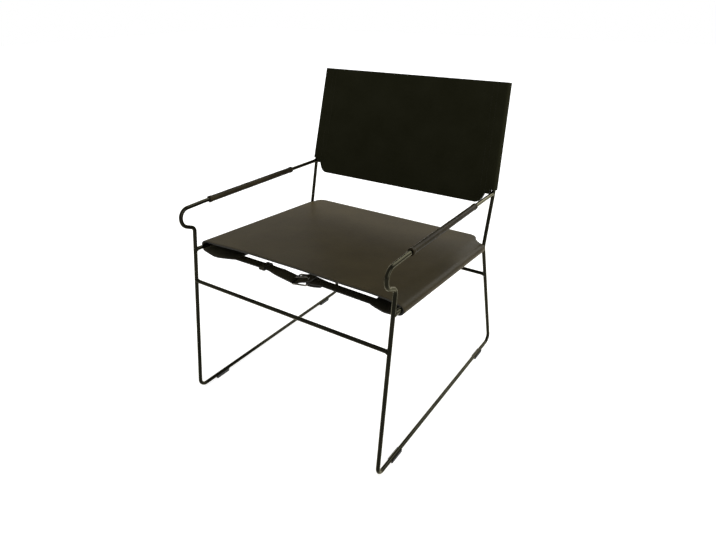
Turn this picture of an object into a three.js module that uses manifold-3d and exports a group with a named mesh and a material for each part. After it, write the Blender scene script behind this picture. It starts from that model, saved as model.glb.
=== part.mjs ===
// Leather sling lounge chair: two bent rod side frames, joined by rails and stretchers,
// carry a buckled leather seat, a sleeved leather back and two leather arm wraps.
// Millimetres, +Z up. The chair faces -Y, and +X is the sitter's left hand.
// The origin is on the floor, under the middle of the chair.
import * as THREE from 'three';
import { mergeVertices } from 'three/addons/utils/BufferGeometryUtils.js';
import Module from 'manifold-3d';

const wasm = await Module();
wasm.setup();

// Driving dimensions of the frame
const ROD_DIAMETER = 10;
const FRAME_HALF_WIDTH = 291.5;
const BACK_TOP_HALF_WIDTH = 277;
const FRONT_CORNER_Y = -330;
const REAR_CORNER_Y = 335.25;
const RUNNER_BEND_RADIUS = 19;
const KINK_Y = 202.5;
const KINK_HEIGHT = 380.5;
const KINK_BEND_RADIUS = 28;
const POST_TOP_Y = 298.5;
const POST_TOP_HEIGHT = 784.5;
const POST_LEAN_BEND_RADIUS = 400;
const ARM_REAR_HEIGHT = 520.7;
const ARM_FRONT_HEIGHT = 525.6;
const ARM_DROOP_Y = -227.8;
const ARM_DROOP_BEND_RADIUS = 110;
const HOOK_NOSE_Y = -305.4;
const HOOK_NOSE_HEIGHT = 524.2;
const HOOK_RETURN_HEIGHT = 483.7;
const HOOK_BEND_SHARE = 0.59;
const HOOK_NECK_Y = -268.9;
const HOOK_NECK_HEIGHT = 467.5;
const NECK_BEND_RADIUS = 12;
const RAIL_FRONT_HEIGHT = 410.6;
const FRONT_STRETCHER_HEIGHT = 325.8;
const REAR_STRETCHER_HEIGHT = 280.7;

// Welds
const WELD_GAP = 0.3;
const WELD_THROAT = 1.5;
const WELD_REACH = 4;

// Glides under the runners
const GLIDE_PAD = 4;
const GLIDE_WALL = 2;
const GLIDE_PAD_WIDTH = 12;
const GLIDE_LENGTH = 45;
const GLIDE_FRONT_INSET = 81;
const GLIDE_REAR_INSET = 92.25;

// Leather of the seat, the back and the arms
const HIDE_THICKNESS = 3.5;
const HIDE_SLACK = 0.3;
const SEAT_FRONT_SETBACK = 29;
const SEAT_HOLLOW_DEPTH = 7.5;
const SEAT_HOLLOW_INSET = 19.5;
const SEAT_HOLLOW_EASE = 120;
const SEAT_REAR_OVERHANG = 30;
const SEAT_TAIL_INSET = 23;
const SEAT_TAIL_CORNER = 19;
const SEAT_TOP_RISE = 13.75;
const SEAT_ROLL_RADIUS = 7;
const SEAT_ROLL_END_GAP = 5;
const UNDER_SEAT_DROP = 22;
const ROLL_UNDER_DROP = 11;
const ROLL_UNDER_RADIUS = 12;
const FLAP_BEND_INSET = 41.5;
const FLAP_BEND_RADIUS = 60;
const FLAP_WIDTH = 88;
const SHOULDER_WIDTH = 45;
const BACK_TOP_OVERLAP = 3.5;
const BACK_SLEEVE_BOTTOM = 152.5;
const BACK_PANEL_BOTTOM = 113;
const BACK_NOTCH_TOP = 140;
const BACK_NOTCH_CLEARANCE = 1.5;
const BACK_NOTCH_INSET = 41.5;
const BACK_NOTCH_STEP = 13.5;
const BACK_NOTCH_LEAN = 4;
const SEAM_WIDTH = 22;
const SLEEVE_DEPTH = 20.5;
const ARM_SLEEVE_FRONT_Y = -211;
const ARM_SLEEVE_REAR_Y = 112.5;
const ARM_SLEEVE_WALL = 2.2;
const ARM_SEAM_HEIGHT = 1.2;
const ARM_SEAM_WIDTH = 3;

// Straps and buckles under the seat
const STRAP_WIDTH = 28;
const STRAP_THICKNESS = 3.2;
const STRAP_SETBACK = 22;
const STRAP_ROOT = 7;
const STRAP_PLACES = ['front', 'middle', 'rear'];
const BAR_DIAMETER = 4.4;
const BUCKLE_LENGTH = 48;
const BUCKLE_SIDE_GAP = 2;
const BUCKLE_CORNER_RADIUS = 7;
const HEEL_BAR_X = 30;
const HEEL_BAR_DROP = 22;
const TOE_BAR_DROP = 31.5;
const BAR_CLEARANCE = 0.4;
const LONG_STRAP_DIP_X = -99;
const LONG_STRAP_DIP_RADIUS = 60;
const LONG_STRAP_TIP_X = 46;
const LONG_STRAP_TIP_DROP = 7.4;
const SHORT_STRAP_FOLD_X = 68;
const SHORT_STRAP_FOLD_DROP = 22.9;
const PRONG_SLOT_WIDTH = 5;
const PRONG_DIAMETER = 3;
const PRONG_SHOULDER_X = 21;
const PRONG_SHOULDER_DROP = 12.6;
const PRONG_SHOULDER_RADIUS = 3;
const PRONG_OVERRUN = 1.5;
const PRONG_HOLE_RADIUS = 4;
const SPARE_HOLES = 2;
const SPARE_HOLE_PITCH = 22;
const SPARE_HOLE_RADIUS = 2.5;
const KEEPER_X = -112;
const KEEPER_LENGTH = 16;
const KEEPER_WALL = 3;
const KEEPER_SLACK = 1;
const RIVET_X = 55;
const RIVET_HEAD_RADIUS = 4.5;
const RIVET_HEAD_HEIGHT = 1.3;
const RIVET_SHANK_RADIUS = 1.8;
const RIVET_SLACK = 0.6;
const BUCKLE_ROLL_DEGREES = 19;
const ROLLED_FROM_X = -58;
const ROLLED_TO_X = 36;
const ROLL_FADE = 36;

// Facets
const ROD_SIDES = 12;
const PUNCH_SIDES = 8;
const BEND_STEP = THREE.MathUtils.degToRad(13);
const NOTCH_FACETS = 5;
const STRAP_STEP = 15;
const CUT_OVERRUN = 20;

const rodRadius = ROD_DIAMETER / 2;
const barRadius = BAR_DIAMETER / 2;
const prongRadius = PRONG_DIAMETER / 2;
const runnerHeight = GLIDE_PAD + rodRadius;
const frontGlideY = FRONT_CORNER_Y + GLIDE_FRONT_INSET;
const rearGlideY = REAR_CORNER_Y - GLIDE_REAR_INSET;
const hookBendRadius = HOOK_BEND_SHARE * (HOOK_NOSE_HEIGHT - HOOK_RETURN_HEIGHT);
const wrapRadius = rodRadius + HIDE_SLACK + HIDE_THICKNESS / 2;
const X_AXIS = new THREE.Vector3(1, 0, 0);
const Y_AXIS = new THREE.Vector3(0, 1, 0);
const Z_AXIS = new THREE.Vector3(0, 0, 1);

const finishes = {
  powderCoat: { color: 0x23241f, roughness: 0.42, metalness: 0.3 },
  seatLeather: { color: 0x473f33, roughness: 0.6, metalness: 0 },
  backLeather: { color: 0x1c1b14, roughness: 0.55, metalness: 0 },
  strapLeather: { color: 0x24231b, roughness: 0.6, metalness: 0 },
  armLeather: { color: 0x2f2e28, roughness: 0.55, metalness: 0 },
  buckleMetal: { color: 0x6d675a, roughness: 0.35, metalness: 0.9 },
  glidePlastic: { color: 0x161613, roughness: 0.6, metalness: 0 },
};

// A path of straights and round bends, with a ring of its sweep at each end of a bend.
class BentPath extends THREE.Curve {
  constructor(corners, across, straightStep = Infinity) {
    super();
    this.across = across;
    this.stations = [];
    const points = corners.map((corner) => corner.at);
    let from = points[0];
    for (let i = 1; i < points.length; i += 1) {
      const last = i === points.length - 1;
      const entry = points[i].clone().sub(points[i - 1]).normalize();
      const bend = last ? null : roundBend(points[i], entry, points[i + 1], corners[i].radius);
      const to = last ? points[i] : bend[0].at;
      const pieces = Math.max(1, Math.ceil(from.distanceTo(to) / straightStep));
      for (let k = i === 1 ? 0 : 1; k <= (last ? pieces : pieces - 1); k += 1) {
        this.stations.push({ at: from.clone().lerp(to, k / pieces), along: entry });
      }
      if (!last) {
        this.stations.push(...bend);
        from = bend[bend.length - 1].at;
      }
    }
  }

  get steps() {
    return this.stations.length - 1;
  }

  getUtoTmapping(u) {
    return u;
  }

  getPoint(t, target = new THREE.Vector3()) {
    const place = t * this.steps;
    const index = Math.min(Math.floor(place), this.steps - 1);
    const a = this.stations[index].at;
    const b = this.stations[index + 1].at;
    return target.copy(a).lerp(b, place - index);
  }

  computeFrenetFrames() {
    const tangents = this.stations.map((station) => station.along.clone());
    const normals = tangents.map((along) => this.across.clone().cross(along).normalize());
    const binormals = tangents.map((along, i) => along.clone().cross(normals[i]));
    return { tangents, normals, binormals };
  }
}

// The stations of one round bend, from where it leaves the entry to where it meets the exit.
function roundBend(corner, entry, next, radius) {
  const exit = next.clone().sub(corner).normalize();
  const turn = entry.angleTo(exit);
  const start = corner.clone().addScaledVector(entry, -radius * Math.tan(turn / 2));
  const inward = exit.clone().addScaledVector(entry, -entry.dot(exit)).normalize();
  const count = Math.max(1, Math.ceil(turn / BEND_STEP));
  const stations = [];
  for (let k = 0; k <= count; k += 1) {
    const angle = (turn * k) / count;
    const at = start.clone().addScaledVector(entry, radius * Math.sin(angle));
    at.addScaledVector(inward, radius * (1 - Math.cos(angle)));
    const along = entry.clone().multiplyScalar(Math.cos(angle));
    along.addScaledVector(inward, Math.sin(angle)).normalize();
    stations.push({ at, along });
  }
  return stations;
}

function disc(radius, sides = ROD_SIDES) {
  const points = [];
  for (let i = 0; i < sides; i += 1) {
    const angle = ((i + 0.5) / sides) * 2 * Math.PI;
    points.push(new THREE.Vector2(radius * Math.cos(angle), radius * Math.sin(angle)));
  }
  return new THREE.Shape(points);
}

function rectangle(width, height) {
  const x = width / 2;
  const y = height / 2;
  return outline([[-x, -y], [x, -y], [x, y], [-x, y]]);
}

function outline(pairs) {
  return new THREE.Shape(pairs.map(([x, y]) => new THREE.Vector2(x, y)));
}

function sweep(section, path) {
  return new THREE.ExtrudeGeometry(section, { steps: path.steps, extrudePath: path });
}

// A straight prism along Z between two heights.
function prism(section, bottom, top, curveSegments = 8) {
  const options = { depth: top - bottom, bevelEnabled: false, curveSegments };
  return new THREE.ExtrudeGeometry(section, options).translate(0, 0, bottom);
}

// A straight rod between two points.
function straightRod(from, to, radius, sides = ROD_SIDES) {
  const along = to.clone().sub(from);
  const rod = prism(disc(radius, sides), 0, along.length());
  const turn = new THREE.Quaternion().setFromUnitVectors(Z_AXIS, along.normalize());
  return rod.applyQuaternion(turn).translate(from.x, from.y, from.z);
}

// A rod turned on an axis from one point towards another, from pairs of radius and distance.
function turned(pairs, from, towards, sides = ROD_SIDES) {
  const profile = pairs.map(([radius, distance]) => new THREE.Vector2(radius, distance));
  const along = towards.clone().sub(from).normalize();
  const turn = new THREE.Quaternion().setFromUnitVectors(Y_AXIS, along);
  const lathe = new THREE.LatheGeometry(profile, sides, Math.PI / sides);
  return lathe.applyQuaternion(turn).translate(from.x, from.y, from.z);
}

function toSolid(geometry) {
  const bare = geometry.clone();
  bare.deleteAttribute('normal');
  bare.deleteAttribute('uv');
  const merged = mergeVertices(bare);
  const triVerts = new Uint32Array(merged.index.array);
  const vertProperties = new Float32Array(merged.attributes.position.array);
  return new wasm.Manifold(new wasm.Mesh({ numProp: 3, vertProperties, triVerts }));
}

function toGeometry(solid) {
  const { vertProperties, triVerts } = solid.getMesh();
  const geometry = new THREE.BufferGeometry();
  geometry.setAttribute('position', new THREE.BufferAttribute(vertProperties, 3));
  geometry.setIndex(new THREE.BufferAttribute(triVerts, 1));
  return geometry;
}

function join(...geometries) {
  return toGeometry(geometries.map(toSolid).reduce((whole, piece) => whole.add(piece)));
}

function cut(geometry, ...cutters) {
  const whole = toSolid(geometry);
  return toGeometry(cutters.map(toSolid).reduce((rest, cutter) => rest.subtract(cutter), whole));
}

function overlap(geometry, other) {
  return toGeometry(toSolid(geometry).intersect(toSolid(other)));
}

function named(name, geometry, finish) {
  const flat = geometry.index ? geometry.toNonIndexed() : geometry;
  flat.computeVertexNormals();
  const mesh = new THREE.Mesh(flat, new THREE.MeshStandardMaterial(finish));
  mesh.name = name;
  return mesh;
}

// Side frames

const legDirection = new THREE.Vector2(HOOK_NECK_Y - FRONT_CORNER_Y, HOOK_NECK_HEIGHT - runnerHeight);
const rearLegDirection = new THREE.Vector2(KINK_Y - REAR_CORNER_Y, KINK_HEIGHT - runnerHeight);
const postDirection = new THREE.Vector2(POST_TOP_Y - KINK_Y, POST_TOP_HEIGHT - KINK_HEIGHT);

function frontLegY(height) {
  return FRONT_CORNER_Y + (legDirection.x * (height - runnerHeight)) / legDirection.y;
}

function rearLegY(height) {
  return REAR_CORNER_Y + (rearLegDirection.x * (height - runnerHeight)) / rearLegDirection.y;
}

function postY(height) {
  return KINK_Y + (postDirection.x * (height - KINK_HEIGHT)) / postDirection.y;
}

function armHeight(y) {
  const run = postY(ARM_REAR_HEIGHT) - ARM_DROOP_Y;
  return ARM_FRONT_HEIGHT + ((ARM_REAR_HEIGHT - ARM_FRONT_HEIGHT) * (y - ARM_DROOP_Y)) / run;
}

const armDirection = new THREE.Vector3(0, ARM_DROOP_Y - postY(ARM_REAR_HEIGHT), 0);
armDirection.z = ARM_FRONT_HEIGHT - ARM_REAR_HEIGHT;
armDirection.normalize();

// The corners of the one rod of a side frame, from the rear of the arm round to the top of the post.
function frameCorners(side) {
  const x = side * FRAME_HALF_WIDTH;
  const joint = new THREE.Vector3(x, postY(ARM_REAR_HEIGHT), ARM_REAR_HEIGHT);
  const corner = (y, z, radius) => ({ at: new THREE.Vector3(x, y, z), radius });
  return [
    { at: joint.clone().addScaledVector(armDirection, rodRadius + WELD_GAP + WELD_THROAT) },
    corner(ARM_DROOP_Y, ARM_FRONT_HEIGHT, ARM_DROOP_BEND_RADIUS),
    corner(HOOK_NOSE_Y, HOOK_NOSE_HEIGHT, hookBendRadius),
    corner(HOOK_NOSE_Y, HOOK_RETURN_HEIGHT, hookBendRadius),
    corner(HOOK_NECK_Y, HOOK_NECK_HEIGHT, NECK_BEND_RADIUS),
    corner(FRONT_CORNER_Y, runnerHeight, RUNNER_BEND_RADIUS),
    corner(REAR_CORNER_Y, runnerHeight, RUNNER_BEND_RADIUS),
    corner(KINK_Y, KINK_HEIGHT, KINK_BEND_RADIUS),
    { at: joint, radius: POST_LEAN_BEND_RADIUS },
    { at: new THREE.Vector3(side * BACK_TOP_HALF_WIDTH, POST_TOP_Y, POST_TOP_HEIGHT) },
  ];
}

function frameRod(side, radius) {
  return sweep(disc(radius), new BentPath(frameCorners(side), X_AXIS));
}

// The fillet of weld that closes a rod's end on the rod that it meets.
function weldBead(at, towards) {
  const waist = rodRadius + WELD_THROAT;
  const foot = rodRadius + WELD_REACH;
  const skin = rodRadius + WELD_GAP / 2;
  const core = rodRadius - WELD_GAP;
  const pairs = [[0, WELD_GAP], [core, WELD_GAP], [waist, rodRadius - WELD_GAP], [skin, foot], [0, foot]];
  return turned(pairs, at, towards);
}

function sideFrame(side) {
  const joint = new THREE.Vector3(side * FRAME_HALF_WIDTH, postY(ARM_REAR_HEIGHT), ARM_REAR_HEIGHT);
  const forward = joint.clone().add(armDirection);
  return join(frameRod(side, rodRadius), weldBead(joint, forward));
}

// A rod welded at both ends between points on the rods of the side frames.
function weldedRod(from, to, sides) {
  const rod = join(straightRod(from, to, rodRadius), weldBead(from, to), weldBead(to, from));
  return cut(rod, ...sides.map((side) => frameRod(side, rodRadius + WELD_GAP)));
}

function stretcher(y, height) {
  const from = new THREE.Vector3(-FRAME_HALF_WIDTH, y, height);
  const to = new THREE.Vector3(FRAME_HALF_WIDTH, y, height);
  return weldedRod(from, to, [-1, 1]);
}

const railFront = new THREE.Vector2(frontLegY(RAIL_FRONT_HEIGHT), RAIL_FRONT_HEIGHT);
const railRear = new THREE.Vector2(KINK_Y, KINK_HEIGHT);
const railLength = railFront.distanceTo(railRear);
const railPitch = Math.atan2(railRear.y - railFront.y, railRear.x - railFront.x);

function seatRail(side) {
  const x = side * FRAME_HALF_WIDTH;
  const from = new THREE.Vector3(x, railFront.x, railFront.y);
  const to = new THREE.Vector3(x, railRear.x, railRear.y);
  return weldedRod(from, to, [side]);
}

// A saddle glide: it holds the lower half of the runner and has a flat pad on the floor.
function glide(side, y) {
  const inner = rodRadius + WELD_GAP;
  const outer = inner + GLIDE_WALL;
  const pad = GLIDE_PAD_WIDTH / 2;
  const padAngle = Math.atan2(-Math.sqrt(outer ** 2 - pad ** 2), pad);
  const section = new THREE.Shape();
  section.absarc(0, 0, outer, padAngle, 0, false);
  section.absarc(0, 0, inner, 0, -Math.PI, true);
  section.absarc(0, 0, outer, -Math.PI, -Math.PI - padAngle, false);
  section.lineTo(-pad, -runnerHeight);
  section.lineTo(pad, -runnerHeight);
  const saddle = prism(section, -GLIDE_LENGTH / 2, GLIDE_LENGTH / 2, 6);
  saddle.rotateX(Math.PI / 2);
  return saddle.translate(side * FRAME_HALF_WIDTH, y, runnerHeight);
}

// A leather wrap round the straight of an arm, with its raised seam below.
function armSleeve(side) {
  const inner = rodRadius + WELD_GAP;
  const outer = inner + ARM_SLEEVE_WALL;
  const seam = outer + ARM_SEAM_HEIGHT;
  const half = Math.asin(ARM_SEAM_WIDTH / 2 / outer);
  const section = new THREE.Shape();
  section.absarc(0, 0, outer, -Math.PI / 2 + half, (3 * Math.PI) / 2 - half, false);
  section.lineTo(-ARM_SEAM_WIDTH / 2, -seam);
  section.lineTo(ARM_SEAM_WIDTH / 2, -seam);
  section.holes.push(new THREE.Path().absarc(0, 0, inner, 0, 2 * Math.PI, true));
  const x = side * FRAME_HALF_WIDTH;
  const front = new THREE.Vector3(x, ARM_SLEEVE_FRONT_Y, armHeight(ARM_SLEEVE_FRONT_Y));
  const rear = new THREE.Vector3(x, ARM_SLEEVE_REAR_Y, armHeight(ARM_SLEEVE_REAR_Y));
  const sleeve = prism(section, 0, front.distanceTo(rear), 9).rotateX(Math.PI / 2);
  sleeve.rotateX(-Math.asin(armDirection.z));
  return sleeve.translate(rear.x, rear.y, rear.z);
}

// Seat, in its own frame: Y runs back along the rails and Z is square to them, from the rails' front end.

const seatFront = SEAT_FRONT_SETBACK;
const rollEnd = railLength - rodRadius - SEAT_ROLL_END_GAP;
const seatTail = railLength + SEAT_REAR_OVERHANG;
const flapInner = FRAME_HALF_WIDTH - FLAP_WIDTH;

// The hide's middle line across the seat: flap, roll, top, roll and flap.
function seatBand() {
  const wall = FRAME_HALF_WIDTH + wrapRadius;
  const half = [
    [flapInner, -UNDER_SEAT_DROP, 0],
    [FRAME_HALF_WIDTH - FLAP_BEND_INSET, -UNDER_SEAT_DROP, FLAP_BEND_RADIUS],
    [wall, -ROLL_UNDER_DROP, ROLL_UNDER_RADIUS],
    [wall, SEAT_TOP_RISE, SEAT_ROLL_RADIUS],
  ];
  const right = half.map(([x, z, radius]) => ({ at: new THREE.Vector3(x, 0, z), radius }));
  const left = half.map(([x, z, radius]) => ({ at: new THREE.Vector3(-x, 0, z), radius }));
  const middle = (seatFront + seatTail) / 2;
  const path = new BentPath([...left, ...right.reverse()], Y_AXIS);
  return sweep(rectangle(HIDE_THICKNESS, seatTail - seatFront), path).translate(0, middle, 0);
}

// The part of a flap's end that is cut away in a round shoulder, from the roll to the first strap.
function shoulderCutter(side, end, inward) {
  const shoulder = flapInner + SHOULDER_WIDTH;
  const strap = end + inward * STRAP_SETBACK;
  const out = end - inward * CUT_OVERRUN;
  const past = flapInner - CUT_OVERRUN;
  const corner = new THREE.Shape();
  corner.moveTo(side * past, out);
  corner.lineTo(side * past, strap);
  corner.lineTo(side * flapInner, strap);
  corner.quadraticCurveTo(side * (flapInner + STRAP_SETBACK), end, side * shoulder, end);
  corner.lineTo(side * shoulder, out);
  return prism(corner, -UNDER_SEAT_DROP - CUT_OVERRUN, -rodRadius - HIDE_THICKNESS, 5);
}

// The rear of the hide outside its tail, cut away to clear the post and to end the roll.
function tailCutter(side) {
  const shape = new THREE.Shape();
  const far = FRAME_HALF_WIDTH + CUT_OVERRUN;
  const waist = FRAME_HALF_WIDTH - wrapRadius;
  const edge = FRAME_HALF_WIDTH - SEAT_TAIL_INSET;
  shape.moveTo(side * (edge - SEAT_TAIL_CORNER), seatTail + CUT_OVERRUN);
  shape.lineTo(side * (edge - SEAT_TAIL_CORNER), seatTail);
  shape.quadraticCurveTo(side * edge, seatTail, side * edge, seatTail - SEAT_TAIL_CORNER);
  shape.lineTo(side * edge, rollEnd + waist - edge);
  shape.quadraticCurveTo(side * edge, rollEnd, side * waist, rollEnd);
  shape.lineTo(side * far, rollEnd);
  shape.lineTo(side * far, seatTail + CUT_OVERRUN);
  return prism(shape, 0, CUT_OVERRUN, 4);
}

// The shallow hollow in the top's front edge, between the rolls.
function hollowCutter() {
  const shape = new THREE.Shape();
  const out = seatFront - CUT_OVERRUN;
  const back = seatFront + SEAT_HOLLOW_DEPTH;
  const wide = FRAME_HALF_WIDTH - SEAT_HOLLOW_INSET;
  const ease = wide - SEAT_HOLLOW_EASE / 2;
  const flat = wide - SEAT_HOLLOW_EASE;
  shape.moveTo(-wide, out);
  shape.lineTo(-wide, seatFront);
  shape.bezierCurveTo(-ease, seatFront, -ease, back, -flat, back);
  shape.lineTo(flat, back);
  shape.bezierCurveTo(ease, back, ease, seatFront, wide, seatFront);
  shape.lineTo(wide, out);
  return prism(shape, 0, CUT_OVERRUN, 5);
}

// Everything under the seat behind the rolls' rear end.
function underCutter() {
  const depth = seatTail + CUT_OVERRUN - rollEnd;
  const across = 2 * (FRAME_HALF_WIDTH + CUT_OVERRUN);
  const block = prism(rectangle(across, depth), -UNDER_SEAT_DROP - CUT_OVERRUN, HIDE_THICKNESS / 2);
  return block.translate(0, rollEnd + depth / 2, 0);
}

function strapCentre(place) {
  const first = seatFront + STRAP_SETBACK + STRAP_WIDTH / 2;
  const last = rollEnd - STRAP_SETBACK - STRAP_WIDTH / 2;
  return first + ((last - first) * STRAP_PLACES.indexOf(place)) / (STRAP_PLACES.length - 1);
}

// Straps and buckles, in the seat's frame with Y across the strap.

const heelBar = new THREE.Vector2(HEEL_BAR_X, -HEEL_BAR_DROP);
const toeBar = new THREE.Vector2(HEEL_BAR_X - BUCKLE_LENGTH, -TOE_BAR_DROP);
const foldRadius = barRadius + BAR_CLEARANCE + STRAP_THICKNESS / 2;
const overRadius = foldRadius + STRAP_THICKNESS + BAR_CLEARANCE;
const prongReach = barRadius + BAR_CLEARANCE + prongRadius;
const strapStart = flapInner + STRAP_ROOT;

// A line drawn tight from a point round a list of rollers to a last point.
// A roller's turn is 1 where the line turns anticlockwise round it in X and Z, and -1 the other way.
function beltCorners(start, rollers, end) {
  const stops = [{ centre: start, radius: 0, turn: 1 }, ...rollers, { centre: end, radius: 0, turn: 1 }];
  const lines = [];
  for (let i = 1; i < stops.length; i += 1) {
    lines.push(tangentLine(stops[i - 1], stops[i]));
  }
  const corners = [{ at: onSeat(start) }];
  for (let i = 1; i < lines.length; i += 1) {
    corners.push(...rollerCorners(lines[i - 1], rollers[i - 1], lines[i]));
  }
  return [...corners, { at: onSeat(end) }];
}

// The corners of the line round one roller: one for a small turn, and two where it folds back.
function rollerCorners(entry, roller, exit) {
  const radius = roller.radius;
  if (entry.along.dot(exit.along) > 0) {
    return [{ at: onSeat(crossing(entry, exit)), radius }];
  }
  const inward = exit.along.clone().sub(entry.along).normalize();
  const along = new THREE.Vector2(inward.y, -inward.x).multiplyScalar(roller.turn);
  const between = { at: roller.centre.clone().addScaledVector(inward, -radius), along };
  return [entry, exit].map((line) => ({ at: onSeat(crossing(line, between)), radius }));
}

function onSeat(point) {
  return new THREE.Vector3(point.x, 0, point.y);
}

// The straight line that leaves one roller and meets the next.
function tangentLine(a, b) {
  const gap = b.centre.clone().sub(a.centre);
  const offset = a.turn * a.radius - b.turn * b.radius;
  const angle = gap.angle() + Math.asin(offset / gap.length());
  const along = new THREE.Vector2(Math.cos(angle), Math.sin(angle));
  const out = new THREE.Vector2(along.y, -along.x);
  return { at: a.centre.clone().addScaledVector(out, a.turn * a.radius), along };
}

function crossing(a, b) {
  const gap = b.at.clone().sub(a.at);
  const share = gap.cross(b.along) / a.along.cross(b.along);
  return a.at.clone().addScaledVector(a.along, share);
}

function longStrapPath() {
  const start = new THREE.Vector2(-strapStart, -UNDER_SEAT_DROP);
  const dip = new THREE.Vector2(LONG_STRAP_DIP_X, -UNDER_SEAT_DROP - LONG_STRAP_DIP_RADIUS);
  const tip = new THREE.Vector2(LONG_STRAP_TIP_X, -LONG_STRAP_TIP_DROP);
  const rollers = [
    { centre: dip, radius: LONG_STRAP_DIP_RADIUS, turn: -1 },
    { centre: toeBar, radius: foldRadius, turn: 1 },
    { centre: heelBar, radius: overRadius, turn: -1 },
  ];
  return new BentPath(beltCorners(start, rollers, tip), Y_AXIS, STRAP_STEP);
}

function shortStrapPath() {
  const start = new THREE.Vector2(strapStart, -UNDER_SEAT_DROP);
  const end = new THREE.Vector2(SHORT_STRAP_FOLD_X, -SHORT_STRAP_FOLD_DROP);
  const fold = { centre: heelBar, radius: foldRadius, turn: 1 };
  return new BentPath(beltCorners(start, [fold], end), Y_AXIS, STRAP_STEP);
}

function prongPath() {
  const reach = prongReach;
  const tip = toeBar.clone().add(new THREE.Vector2(-PRONG_OVERRUN, reach));
  const shoulder = new THREE.Vector2(PRONG_SHOULDER_X, -PRONG_SHOULDER_DROP);
  const left = heelBar.clone().add(new THREE.Vector2(-reach, 0));
  const corners = [
    { at: onSeat(tip) },
    { at: onSeat(shoulder), radius: PRONG_SHOULDER_RADIUS },
    { at: onSeat(new THREE.Vector2(left.x, shoulder.y - PRONG_SHOULDER_RADIUS)), radius: prongRadius },
    { at: onSeat(new THREE.Vector2(left.x, heelBar.y - reach)), radius: reach },
    { at: onSeat(new THREE.Vector2(heelBar.x + reach, heelBar.y - reach)), radius: reach },
    { at: onSeat(new THREE.Vector2(heelBar.x + reach, heelBar.y + prongRadius)) },
  ];
  return new BentPath(corners, Y_AXIS);
}

// The heights at which a strap's middle line passes one place across the seat, in its own order.
function heightsAt(path, x) {
  const heights = [];
  for (let i = 1; i < path.stations.length; i += 1) {
    const a = path.stations[i - 1].at;
    const b = path.stations[i].at;
    if ((a.x - x) * (b.x - x) <= 0) {
      heights.push(a.z + ((b.z - a.z) * (x - a.x)) / (b.x - a.x));
    }
  }
  return heights;
}

function punch(path, x, radius) {
  const [height] = heightsAt(path, x);
  const half = 2 * STRAP_THICKNESS;
  return prism(disc(radius, PUNCH_SIDES), height - half, height + half).translate(x, 0, 0);
}

// The strap from the sitter's right: under the toe bar, up through the frame and over the heel bar.
function longStrap() {
  const path = longStrapPath();
  const strap = sweep(rectangle(STRAP_THICKNESS, STRAP_WIDTH), path);
  const half = STRAP_WIDTH / 2;
  const plan = new THREE.Shape();
  plan.moveTo(-strapStart - CUT_OVERRUN, -half - CUT_OVERRUN);
  plan.lineTo(LONG_STRAP_TIP_X - half, -half - CUT_OVERRUN);
  plan.lineTo(LONG_STRAP_TIP_X - half, -half);
  plan.absarc(LONG_STRAP_TIP_X - half, 0, half, -Math.PI / 2, Math.PI / 2, false);
  plan.lineTo(LONG_STRAP_TIP_X - half, half + CUT_OVERRUN);
  plan.lineTo(-strapStart - CUT_OVERRUN, half + CUT_OVERRUN);
  const rounded = overlap(strap, prism(plan, -2 * UNDER_SEAT_DROP, 0));
  const holes = [punch(path, heelBar.x - prongReach - prongRadius / 2, PRONG_HOLE_RADIUS)];
  for (let i = 1; i <= SPARE_HOLES; i += 1) {
    holes.push(punch(path, toeBar.x - i * SPARE_HOLE_PITCH, SPARE_HOLE_RADIUS));
  }
  return cut(rounded, ...holes);
}

// The strap from the sitter's left: folded round the heel bar, slotted for the prong and riveted.
function shortStrap() {
  const strap = sweep(rectangle(STRAP_THICKNESS, STRAP_WIDTH), shortStrapPath());
  const slotLength = 4 * foldRadius;
  const slot = prism(rectangle(slotLength, PRONG_SLOT_WIDTH), -2 * UNDER_SEAT_DROP, 0);
  slot.translate(heelBar.x, 0, 0);
  const rivetHole = straightRod(...rivetEnds(), RIVET_SHANK_RADIUS + BAR_CLEARANCE, 8);
  return cut(strap, slot, rivetHole);
}

function rivetEnds() {
  return [new THREE.Vector3(RIVET_X, 0, -2 * UNDER_SEAT_DROP), new THREE.Vector3(RIVET_X, 0, 0)];
}

// The roll of the hanging buckle about the strap's line: full at the buckle and fading along the straps.
function rollAngle(x) {
  const before = THREE.MathUtils.smoothstep(x, ROLLED_FROM_X - ROLL_FADE, ROLLED_FROM_X);
  const after = 1 - THREE.MathUtils.smoothstep(x, ROLLED_TO_X, ROLLED_TO_X + ROLL_FADE);
  return THREE.MathUtils.degToRad(BUCKLE_ROLL_DEGREES) * Math.min(before, after);
}

function rolled(geometry) {
  const place = geometry.attributes.position;
  const point = new THREE.Vector3();
  for (let i = 0; i < place.count; i += 1) {
    point.fromBufferAttribute(place, i);
    point.z += UNDER_SEAT_DROP;
    point.applyAxisAngle(X_AXIS, rollAngle(point.x));
    place.setXYZ(i, point.x, point.y, point.z - UNDER_SEAT_DROP);
  }
  return geometry;
}

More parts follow.
